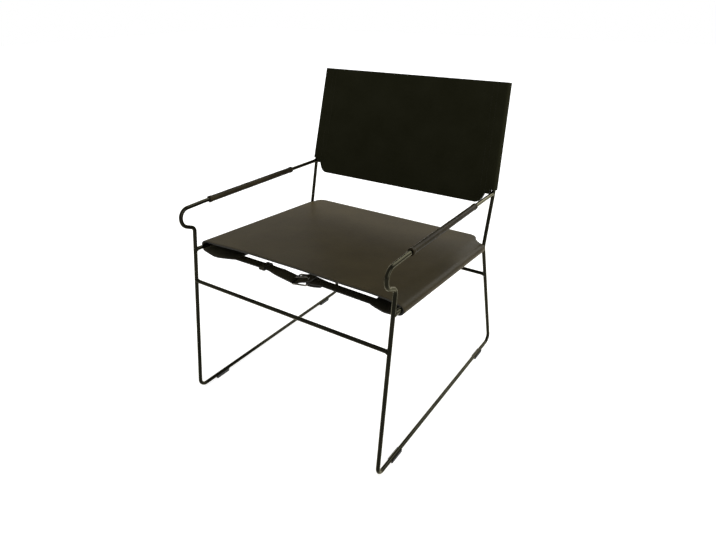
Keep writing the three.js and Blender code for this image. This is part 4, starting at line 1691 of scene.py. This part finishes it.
@dataclass
class StrapAndBuckle:
    """One strap under the seat: two ends of leather, a buckle, a keeper and a rivet."""

    palette: Palette
    seat: SeatSling
    where: StrapPlace
    thickness: float = 3.2
    edge_round: float = 0.6
    root: float = 7.0
    bar_radius: float = 2.2
    clearance: float = 0.4
    buckle_length: float = 48.0
    side_gap: float = 2.0
    buckle_corner: float = 7.0
    heel: tuple[float, float] = (30.0, -22.0)
    toe_drop: float = 31.5
    dip_x: float = -99.0
    dip_bend: float = 60.0
    tip: tuple[float, float] = (46.0, -7.4)
    tip_blunt: float = 0.02
    fold_end: tuple[float, float] = (68.0, -22.9)
    slot_width: float = 5.0
    slot_round: float = 0.48
    prong_radius: float = 1.5
    prong_tip: float = 0.7
    prong_shoulder: tuple[float, float] = (21.0, -12.6)
    prong_bend: float = 3.0
    prong_overrun: float = 1.5
    hole_radius: float = 4.0
    spare_hole_pitch: float = 22.0
    spare_hole_radius: float = 1.7
    spread: float = 1.4
    spread_span: tuple[float, float] = (-4.0, 8.0)
    arch: float = 1.8
    arch_span: tuple[float, float] = (0.0, 20.0)
    keeper_x: float = -112.0
    keeper_length: float = 16.0
    keeper_wall: float = 3.0
    keeper_slack: float = 1.0
    keeper_bend: float = 2.5
    keeper_edge_round: float = 0.7
    rivet_x: float = 55.0
    rivet_radius: float = 4.5
    rivet_gap: float = 0.3
    rivet_dome: Profile = ((0, 1.5), (0.45, 1.35), (0.8, 0.9), (0.97, 0.35), (1, -0.2), (0, -0.2))
    roll_degrees: float = 19.0
    rolled_from: float = -58.0
    rolled_to: float = 36.0
    roll_fade: float = 36.0
    rows: int = 9
    keeper_rows: int = 7

    @property
    def word(self) -> str:
        """The strap's place in a piece's name."""
        return self.where.word

    @property
    def toe(self) -> tuple[float, float]:
        """The toe bar's middle line."""
        return self.heel[0] - self.buckle_length, -self.toe_drop

    @property
    def fold_radius(self) -> float:
        """The radius of a strap's middle line round a bar."""
        return self.bar_radius + self.clearance + self.thickness / 2

    @property
    def prong_reach(self) -> float:
        """The radius of the prong's middle line round the heel bar."""
        return self.bar_radius + self.clearance + self.prong_radius

    def settle(self, bm: bmesh.types.BMesh, rolls: bool = True) -> None:
        """Rolls a mesh about the strap's line as it hangs, and moves it to its place.

        Args:
            bm: The mesh, drawn about the strap's middle.
            rolls: Whether it rolls with the buckle.
        """
        drop = self.seat.under_drop
        shift = Matrix.Translation((0, self.seat.strap_middle(self.where), 0))
        for v in bm.verts if rolls else ():
            turn = Matrix.Rotation(self.roll_at(v.co.x), 3, "X")
            v.co = turn @ (v.co + Z_AXIS * drop) - Z_AXIS * drop
        bmesh.ops.transform(bm, matrix=self.seat.place @ shift, verts=bm.verts)

    def roll_at(self, x: float) -> float:
        """Works out how far the strap has rolled.

        Args:
            x: The place across the seat.

        Returns:
            The roll there, in radians.
        """
        before = smooth_share(x, self.rolled_from - self.roll_fade, self.rolled_from)
        after = 1 - smooth_share(x, self.rolled_to, self.rolled_to + self.roll_fade)
        return math.radians(self.roll_degrees) * min(before, after)

    def long_path(self) -> list[Station]:
        """Draws the strap end that passes through the buckle.

        Returns:
            Its middle line, from the right flap to the round tip.
        """
        start = Vector((-self.seat.flap_inner - self.root, 0, -self.seat.under_drop))
        rollers = [
            Roller(self.dip_x, -self.seat.under_drop - self.dip_bend, self.dip_bend, -1),
            Roller(*self.toe, self.fold_radius, 1),
            Roller(*self.heel, self.fold_radius + self.thickness + self.clearance, -1),
        ]
        end = Vector((self.tip[0], 0, self.tip[1]))
        return bent_path(belt_corners(start, rollers, end), straight=3.0, step=math.radians(9))

    def short_path(self) -> list[Station]:
        """Draws the strap end that folds round the heel bar.

        Returns:
            Its middle line, from the left flap to the end of the fold.
        """
        start = Vector((self.seat.flap_inner + self.root, 0, -self.seat.under_drop))
        end = Vector((self.fold_end[0], 0, self.fold_end[1]))
        rollers = [Roller(*self.heel, self.fold_radius, 1)]
        return bent_path(belt_corners(start, rollers, end), straight=3.0, step=math.radians(12))

    def prong_path(self) -> list[Station]:
        """Draws the prong.

        Returns:
            Its middle line, from its tip round the heel bar.
        """
        reach = self.prong_reach
        x, z = self.heel
        toe_x, toe_z = self.toe
        top_x, top_z = self.prong_shoulder
        points = [
            (toe_x - self.prong_overrun, toe_z + reach, 0.0),
            (top_x, top_z, self.prong_bend),
            (x - reach, top_z - self.prong_bend, self.prong_radius),
            (x - reach, z - reach, reach),
            (x + reach, z - reach, reach),
            (x + reach, z + self.prong_radius, 0.0),
        ]
        corners = [Corner(Vector((px, 0, pz)), radius) for px, pz, radius in points]
        return bent_path(corners, straight=4.0, step=math.radians(12))

    def build(self) -> None:
        """Builds every piece of the strap."""
        self.make_long_strap()
        self.make_short_strap()
        self.make_buckle()
        self.make_prong()
        self.make_keeper()
        self.make_rivet()

    def strap(self, name: str, stations: Sequence[Station], tip: bool) -> bpy.types.Object:
        """Makes a length of strap with its edges rubbed round.

        Args:
            name: The piece's name.
            stations: Its middle line.
            tip: Whether it passes through the buckle and its last end is cut round.

        Returns:
            The strap, before its holes are punched.
        """
        half = self.seat.strap_width / 2
        end = stations[-1].at
        bm = bmesh.new()

        def lay(column: int, row: int) -> Vector:
            """Gives a point of the strap's middle.

            Args:
                column: The station's number.
                row: The point's number, across the strap.

            Returns:
                The point, drawn about the strap's middle.
            """
            at = stations[column].at
            width, rise = half, 0.0
            if tip:
                inside = min(at.x - self.toe[0], self.heel[0] - at.x)
                width += self.spread * smooth_share(inside, *self.spread_span)
                rise = self.arch * smooth_share(inside, *self.arch_span)
                left = (end - at).length
                if column > len(stations) / 2 and left < half:
                    width = half * math.sqrt(max(self.tip_blunt, 1 - ((half - left) / half) ** 2))
            return Vector((at.x, -width + 2 * width * row / (self.rows - 1), at.z + rise))

        lay_grid(bm, len(stations), self.rows, lay)
        materials = self.palette.sheet(self.palette.strap)
        return finish_piece(name, bm, materials, "chair", outward=False)

    def punch(self, piece: bpy.types.Object, cutters: Sequence[bmesh.types.BMesh]) -> None:
        """Gives a strap its thickness and cuts its holes, then hangs it in place.

        Args:
            piece: The strap.
            cutters: The solids to cut away, drawn as the strap is.
        """
        thicken(piece, self.thickness, self.edge_round)
        whole = bmesh.new()
        shape = bpy.data.meshes.new("punch")
        for cutter in cutters:
            bmesh.ops.recalc_face_normals(cutter, faces=cutter.faces)
            cutter.to_mesh(shape)
            cutter.free()
            whole.from_mesh(shape)
        rescale(whole, MM)
        whole.to_mesh(shape)
        whole.free()
        tool = add_object("punch", shape)
        cut = piece.modifiers.new("holes", "BOOLEAN")
        cut.object = tool
        cut.operation = "DIFFERENCE"
        cut.solver = "EXACT"
        bake_modifiers(piece)
        bpy.data.objects.remove(tool)
        bpy.data.meshes.remove(shape)
        bm = bmesh.new()
        bm.from_mesh(piece.data)
        rescale(bm, 1 / MM)
        self.settle(bm)
        rescale(bm, MM)
        bm.to_mesh(piece.data)
        bm.free()

    def hole(self, path: Sequence[Station], x: float, radius: float) -> bmesh.types.BMesh:
        """Makes the cutter for one round hole.

        Args:
            path: The strap's middle line.
            x: The hole's place.
            radius: Its radius.

        Returns:
            The cutter.
        """
        # Where the strap passes twice, the upper pass is taken.
        near = min(path, key=lambda station: abs(station.at.x - x) - 0.001 * station.at.z)
        depth = 4 * self.thickness
        bm = bmesh.new()
        bmesh.ops.create_cone(
            bm, cap_ends=True, segments=20, radius1=radius, radius2=radius, depth=depth
        )
        bmesh.ops.translate(bm, vec=(x, 0, near.at.z), verts=bm.verts)
        return bm

    def make_long_strap(self) -> None:
        """Builds the strap end with the round tip and the punched holes."""
        path = self.long_path()
        piece = self.strap(f"strap_with_holes_{self.word}", path, tip=True)
        places = [(self.heel[0] - self.prong_reach - self.prong_radius / 2, self.hole_radius)]
        for k in (1, 2):
            places.append((self.toe[0] - k * self.spare_hole_pitch, self.spare_hole_radius))
        self.punch(piece, [self.hole(path, x, radius) for x, radius in places])

    def make_short_strap(self) -> None:
        """Builds the strap end that is folded round the heel bar, slotted for the prong."""
        piece = self.strap(f"strap_folded_{self.word}", self.short_path(), tip=False)
        slot = bmesh.new()
        bmesh.ops.create_cube(slot, size=1.0)
        size = (4 * self.fold_radius, self.slot_width, 2 * self.seat.under_drop)
        bmesh.ops.scale(slot, vec=size, verts=slot.verts)
        upright = [e for e in slot.edges if abs((e.verts[0].co - e.verts[1].co).z) > 1]
        round_edges(slot, upright, self.slot_width * self.slot_round, 6)
        bmesh.ops.translate(slot, vec=(self.heel[0], 0, self.heel[1]), verts=slot.verts)
        self.punch(piece, [slot])

    def make_buckle(self) -> None:
        """Builds the buckle's frame: one wire bent to a rectangle with round corners."""
        heel, toe = (Vector((x, 0, z)) for x, z in (self.heel, self.toe))
        long = (heel - toe).normalized()
        middle = (heel + toe) / 2
        half_width = self.seat.strap_width / 2 + self.side_gap + self.bar_radius
        bend = self.buckle_corner - self.bar_radius
        corners = [
            Corner(middle + long * x + Y_AXIS * y, 0 if x == 0 else bend)
            for x, y in rectangle((heel - toe).length / 2, half_width)
        ]
        stations = bent_path(corners, straight=8.0, step=math.radians(10))[:-1]
        bm = bmesh.new()
        sweep_rod(bm, stations, long.cross(Y_AXIS), self.bar_radius, sides=16, closed=True)
        self.settle(bm)
        self.finish_nickel(bm, "nickel", f"buckle_frame_{self.word}", f"buckle_{self.word}")

    def finish_nickel(self, bm: bmesh.types.BMesh, made_by: str, name: str, body: str) -> None:
        """Finishes one nickel-plated piece.

        Args:
            bm: Its mesh.
            made_by: What is special to it, for the piece's name.
            name: The node that it stands for.
            body: The body that it moves with.
        """
        nickel = [self.palette.nickel]
        finish_piece(f"{made_by}_{name}", bm, nickel, body, [name])

    def make_prong(self) -> None:
        """Builds the prong, tapered to its tip and curled round the heel bar."""
        stations = self.prong_path()
        radii = [self.prong_radius] * len(stations)
        radii[0] = self.prong_tip * self.prong_radius
        bm = bmesh.new()
        sweep_rod(bm, stations, Y_AXIS, radii, sides=12)
        self.settle(bm)
        self.finish_nickel(bm, "nickel", f"buckle_prong_{self.word}", f"prong_{self.word}")

    def make_keeper(self) -> None:
        """Builds the loop of leather that slides on the strap."""
        slack = self.keeper_slack + self.keeper_wall / 2
        half_width = self.seat.strap_width / 2 + slack
        half_height = self.thickness / 2 + slack
        low = -self.seat.under_drop
        corners = [
            Corner(Vector((0, y, low + z)), 0 if y == 0 else self.keeper_bend)
            for y, z in rectangle(half_width, half_height)
        ]
        loop = bent_path(corners, straight=4.0, step=math.radians(15))[:-1]
        start = self.keeper_x - self.keeper_length / 2
        bm = bmesh.new()

        def lay(column: int, row: int) -> Vector:
            """Gives a point of the keeper's middle.

            Args:
                column: The point's number, round the loop.
                row: The point's number, along the strap.

            Returns:
                The point, drawn about the strap's middle.
            """
            at = loop[column % len(loop)].at
            share = self.keeper_length * row / (self.keeper_rows - 1)
            return Vector((start + share, at.y, at.z))

        lay_grid(bm, len(loop) + 1, self.keeper_rows, lay)
        bmesh.ops.remove_doubles(bm, verts=bm.verts, dist=TOUCHING)
        self.settle(bm, rolls=False)
        materials = self.palette.sheet(self.palette.strap)
        name = f"strap_keeper_{self.word}"
        body = f"keeper_{self.word}"
        keeper = finish_piece(f"leather_{name}", bm, materials, body, [name])
        thicken(keeper, self.keeper_wall, self.keeper_edge_round)

    def make_rivet(self) -> None:
        """Builds the rivet through the fold of the short strap, with a domed head each way."""
        path = self.short_path()
        half = len(path) // 2
        upper, lower = (
            min(layer, key=lambda station: abs(station.at.x - self.rivet_x)).at.z
            for layer in (path[:half], path[half:])
        )
        top, bottom = upper + self.thickness / 2, lower - self.thickness / 2 - self.rivet_gap
        base = Vector((self.rivet_x, 0, 0))
        bm = bmesh.new()
        for face, out in ((top, 1), (bottom, -1)):
            dome = [(share * self.rivet_radius, face + out * z) for share, z in self.rivet_dome]
            turn_profile(bm, dome, base, base + Z_AXIS)
        self.settle(bm)
        self.finish_nickel(bm, "domed", f"strap_rivet_{self.word}", "chair")


@dataclass
class BackSling(Sling):
    """The back: one hide with a sleeve down each side, sewn behind the posts."""

    top_overlap: float = 3.5
    sleeve_bottom: float = 152.5
    panel_bottom: float = 113.0
    panel_inset: float = 45.0
    notch_top: float = 140.0
    notch_reach: float = 6.5
    notch_clearance: float = 1.5
    notch_inset: float = 41.5
    notch_step: float = 13.5
    notch_lean: float = 4.0
    seam_width: float = 22.0
    seam_bend: float = 12.0
    sleeve_depth: float = 20.5
    layer_gap: float = 0.1
    wave: float = 0.5
    wave_across: float = 140.0
    wave_up: float = 120.0
    wave_seed: float = 7.7
    stitch_pitch: float = 7.0
    stitch_inset: float = 5.0
    stitch_length: float = 5.0
    thread_radius: float = 0.42
    thread_lift: float = 0.05
    stitch_rows: tuple[float, float] = (4.0, 17.0)
    rows: int = 45
    post_run: float = field(init=False)
    joint_run: float = field(init=False)

    def __post_init__(self) -> None:
        """Works out the back's own frame from the posts."""
        c = self.chassis
        dy, dz = c.post_top_y - c.kink_y, c.post_top_z - c.kink_z
        pitch = -math.atan2(dy, dz)
        self.post_run = math.hypot(dy, dz)
        self.joint_run = (c.arm_rear_z - c.kink_z) / math.cos(pitch)
        origin = Vector((0, c.kink_y, c.kink_z))
        self.place = Matrix.Translation(origin) @ Matrix.Rotation(pitch, 4, "X")

    @property
    def taper(self) -> float:
        """How much nearer the middle the posts come for each millimetre of rise."""
        c = self.chassis
        return (c.half_width - c.top_half_width) / (self.post_run - self.joint_run)

    @property
    def inner(self) -> float:
        """The radius of the sleeve's inside round a post."""
        return self.chassis.rod_radius + self.slack

    @property
    def wedge(self) -> float:
        """The angle at which the sleeve's rear layer comes to the seam."""
        return 2 * math.atan(self.inner / self.sleeve_depth)

    @property
    def notch_outer(self) -> float:
        """Where the notch below the arm ends, on the sleeve's side."""
        return self.chassis.half_width - self.notch_reach - self.notch_clearance

    @property
    def notch_start(self) -> float:
        """Where the notch's level top ends, on the panel's side."""
        return self.notch_outer - self.notch_step

    @property
    def notch_end(self) -> float:
        """Where the notch's curve meets the panel's lower edge."""
        return self.chassis.half_width - self.notch_inset

    @property
    def panel_half_width(self) -> float:
        """How far the flat panel reaches from the middle."""
        return self.chassis.half_width - self.panel_inset

    @property
    def top(self) -> float:
        """How high the hide ends, up the posts."""
        return self.post_run + self.top_overlap

    def leaving(self) -> tuple[float, float]:
        """Returns where the sleeve's rear layer leaves the post, in plan."""
        r, wedge = self.wrap_radius, self.wedge
        return self.chassis.half_width - r * math.sin(wedge), r * math.cos(wedge)

    def seam_start(self, rear: float) -> float:
        """Works out where the seam starts, across the chair.

        Args:
            rear: How far behind the posts' middle the seam lies.

        Returns:
            The distance from the middle.
        """
        x, y = self.leaving()
        return x - (y - rear) / math.tan(self.wedge)

    def band(self) -> list[Station]:
        """Draws the hide's middle line in plan.

        Returns:
            The line, from one seam round the front to the other.
        """
        x, y = self.leaving()
        outer = self.chassis.half_width + self.wrap_radius
        rear = self.hide * 1.5 - self.inner - self.hide / 2 + self.layer_gap
        seam_start = self.seam_start(rear)
        half = [
            (seam_start - self.seam_width, rear, 0.0),
            (seam_start, rear, self.seam_bend),
            (outer, y + (outer - x) * math.tan(self.wedge), self.wrap_radius),
            (outer, -self.wrap_radius, self.wrap_radius),
        ]
        left = [Corner(Vector((px, py, 0)), bend) for px, py, bend in half]
        return bent_path(mirrored(left), straight=6.0, step=math.radians(8))

    def bottom(self, x: float) -> float:
        """Works out how high the hide starts.

        Args:
            x: The distance from the middle.

        Returns:
            The height of the lower edge, up the posts.
        """
        if x >= self.notch_outer:
            return self.sleeve_bottom
        if x >= self.notch_start:
            return self.notch_top
        if x <= self.notch_end:
            return self.panel_bottom
        hollow = (self.notch_start - self.notch_lean, self.panel_bottom + self.notch_lean)
        low, high = (self.notch_end, self.panel_bottom), (self.notch_start, self.notch_top)
        return curve_height(x, low, hollow, high)

    def lean(self, x: float, run: float) -> float:
        """Returns how far a point moves towards the middle as the posts lean in."""
        shift = self.taper * (run - self.joint_run)
        return -math.copysign(shift, x) * min(1.0, abs(x) / self.panel_half_width)

    def build(self) -> None:
        """Builds the hide and its stitches."""
        start, end = self.notch_start, self.notch_end
        # Two marks close together keep the step at the sleeve short.
        steps = [self.notch_outer - 0.15, self.notch_outer + 0.15, start, end]
        steps += [start + (end - start) * share for share in (0.06, 0.13, 0.22, 0.35, 0.5, 0.75)]
        stations = with_marks(self.band(), [*steps, *(-step for step in steps)])[::-1]

        def lay(column: int, row: int) -> Vector:
            """Gives a point of the hide's middle.

            Args:
                column: The station's number.
                row: The point's number, upwards.

            Returns:
                The point in the chair's frame.
            """
            at = stations[column].at
            low = self.bottom(abs(at.x))
            run = low + (self.top - low) * row / (self.rows - 1)
            point = Vector((at.x + self.lean(at.x, run), at.y, run))
            if abs(at.x) < self.panel_half_width and at.y < 0:
                spot = Vector((at.x / self.wave_across, run / self.wave_up, self.wave_seed))
                point.y += self.wave * noise.noise(spot)
            return self.place @ point

        materials = self.palette.sheet(self.palette.back)
        deep = self.top - self.panel_bottom
        frames = ["bent_side_frame_left", "bent_side_frame_right"]
        thickness = self.hide - self.layer_gap
        self.stretch("back", materials, stations, self.rows, lay, thickness, deep, frames)
        self.sew()

    def sew(self) -> None:
        """Adds the two rows of stitches that close each sleeve, front and back."""
        front = -self.inner - self.hide - self.thread_lift
        rear = self.hide - self.inner
        turn = self.place.to_3x3()
        faces = ((front, -Y_AXIS), (rear + self.thread_lift, Y_AXIS))
        bm = bmesh.new()
        for side in Side:
            for inset in self.stitch_rows:
                x = side.value * (self.seam_start(rear) - inset)
                low = self.bottom(abs(x)) + self.stitch_inset
                length = self.top - self.stitch_inset - low
                count = int(length / self.stitch_pitch)
                for k in range(count):
                    run = low + (k + 0.5) * length / count
                    for y, out in faces:
                        at = self.place @ Vector((x + self.lean(x, run), y, run))
                        size = self.stitch_length, self.thread_radius
                        add_stitch(bm, at, turn @ Z_AXIS, turn @ out, *size)
        finish_piece("back_stitches", bm, [self.palette.thread], "chair")


@dataclass(frozen=True)
class SoftLight:
    """A broad soft light, as far away as a window's sky."""

    name: str
    energy: float
    towards: tuple[float, float, float]
    spread_degrees: float = 50.0


@dataclass
class Studio:
    """The camera, the pale floor and plain soft light, with sizes in metres."""

    location: tuple[float, float, float] = (0.76252, -1.10307, 0.99703)
    yaw: float = 33.911
    pitch: float = 26.987
    roll: float = -0.411
    focal_px: float = 550.3
    sensor_mm: float = 36.0
    clip_start: float = 0.01
    floor_half_size: float = 12.0
    floor_colour: str = "#dcdcdb"
    floor_lift: float = 0.62
    surround_light: float = 0.44
    lights: tuple[SoftLight, ...] = (
        SoftLight("rear_light", 2.9, (-0.2, -0.78, -0.58)),
        SoftLight("side_light", 2.9, (-0.97, 0.1, -0.2)),
    )

    def build(self) -> None:
        """Sets up the view, the floor and the lights."""
        self.make_camera()
        self.make_floor()
        self.make_surround()
        self.make_lights()
        bpy.context.scene.view_settings.view_transform = "Standard"

    def make_camera(self) -> None:
        """Places the camera at the photograph's angle."""
        yaw, pitch, roll = (math.radians(a) for a in (self.yaw, self.pitch, self.roll))
        back = Vector(
            (math.sin(yaw) * math.cos(pitch), -math.cos(yaw) * math.cos(pitch), math.sin(pitch))
        )
        right = Vector((math.cos(yaw), math.sin(yaw), 0))
        up = back.cross(right)
        across = right * math.cos(roll) + up * math.sin(roll)
        above = up * math.cos(roll) - right * math.sin(roll)
        lens = bpy.data.cameras.new("camera")
        lens.sensor_width = self.sensor_mm
        lens.lens = self.focal_px * self.sensor_mm / PHOTO_WIDTH
        lens.clip_start = self.clip_start
        camera = add_object("camera", lens)
        turn = Matrix((across, above, back)).transposed().to_4x4()
        camera.matrix_world = Matrix.Translation(self.location) @ turn
        bpy.context.scene.camera = camera

    def make_floor(self) -> None:
        """Lays a pale floor that reads white to the eye and keeps the chair's shadow."""
        bm = bmesh.new()
        bmesh.ops.create_grid(bm, x_segments=1, y_segments=1, size=self.floor_half_size)
        mesh = bpy.data.meshes.new("studio_floor")
        bm.to_mesh(mesh)
        bm.free()
        floor = add_object("studio_floor", mesh)
        material = bpy.data.materials.new("pale_floor")
        tree = clear_tree(material)
        matte = add_node(tree, "ShaderNodeBsdfDiffuse", {"Color": linear(self.floor_colour)})
        lift = add_node(
            tree,
            "ShaderNodeMath",
            {"0": seen_rays(tree), "1": self.floor_lift},
            operation="MULTIPLY",
        )
        glow = add_node(
            tree, "ShaderNodeEmission", {"Color": (1, 1, 1, 1), "Strength": lift.outputs["Value"]}
        )
        both = add_node(
            tree,
            "ShaderNodeAddShader",
            {"0": matte.outputs["BSDF"], "1": glow.outputs["Emission"]},
        )
        add_node(tree, "ShaderNodeOutputMaterial", {"Surface": both.outputs["Shader"]})
        mesh.materials.append(material)

    def make_surround(self) -> None:
        """Surrounds the chair with even light that looks white to the camera and in gloss."""
        world = bpy.data.worlds.new("studio_surround")
        bpy.context.scene.world = world
        tree = clear_tree(world)
        strength = add_node(
            tree,
            "ShaderNodeMapRange",
            {"Value": seen_rays(tree), "To Min": self.surround_light, "To Max": 1.0},
        )
        light = add_node(
            tree,
            "ShaderNodeBackground",
            {"Color": (1, 1, 1, 1), "Strength": strength.outputs["Result"]},
        )
        add_node(tree, "ShaderNodeOutputWorld", {"Surface": light.outputs["Background"]})

    def make_lights(self) -> None:
        """Adds two soft lights, one from behind and one from the sitter's left."""
        for light in self.lights:
            lamp = bpy.data.lights.new(light.name, "SUN")
            lamp.angle = math.radians(light.spread_degrees)
            lamp.energy = light.energy
            turn = Vector(light.towards).to_track_quat("-Z", "Y").to_euler()
            add_object(light.name, lamp).rotation_euler = turn


def main() -> None:
    """Loads the frame, and builds the chair's looks and the studio."""
    logging.basicConfig(level=logging.INFO, format="%(name)s: %(message)s")
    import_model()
    palette = Palette.mixed()
    chassis = Chassis(palette)
    chassis.build()
    Glides(palette, chassis).build()
    ArmWraps(palette, chassis).build()
    SeatSling(palette, chassis).build()
    BackSling(palette, chassis).build()
    Studio().build()
    bpy.context.view_layer.update()


if __name__ == "__main__":
    main()
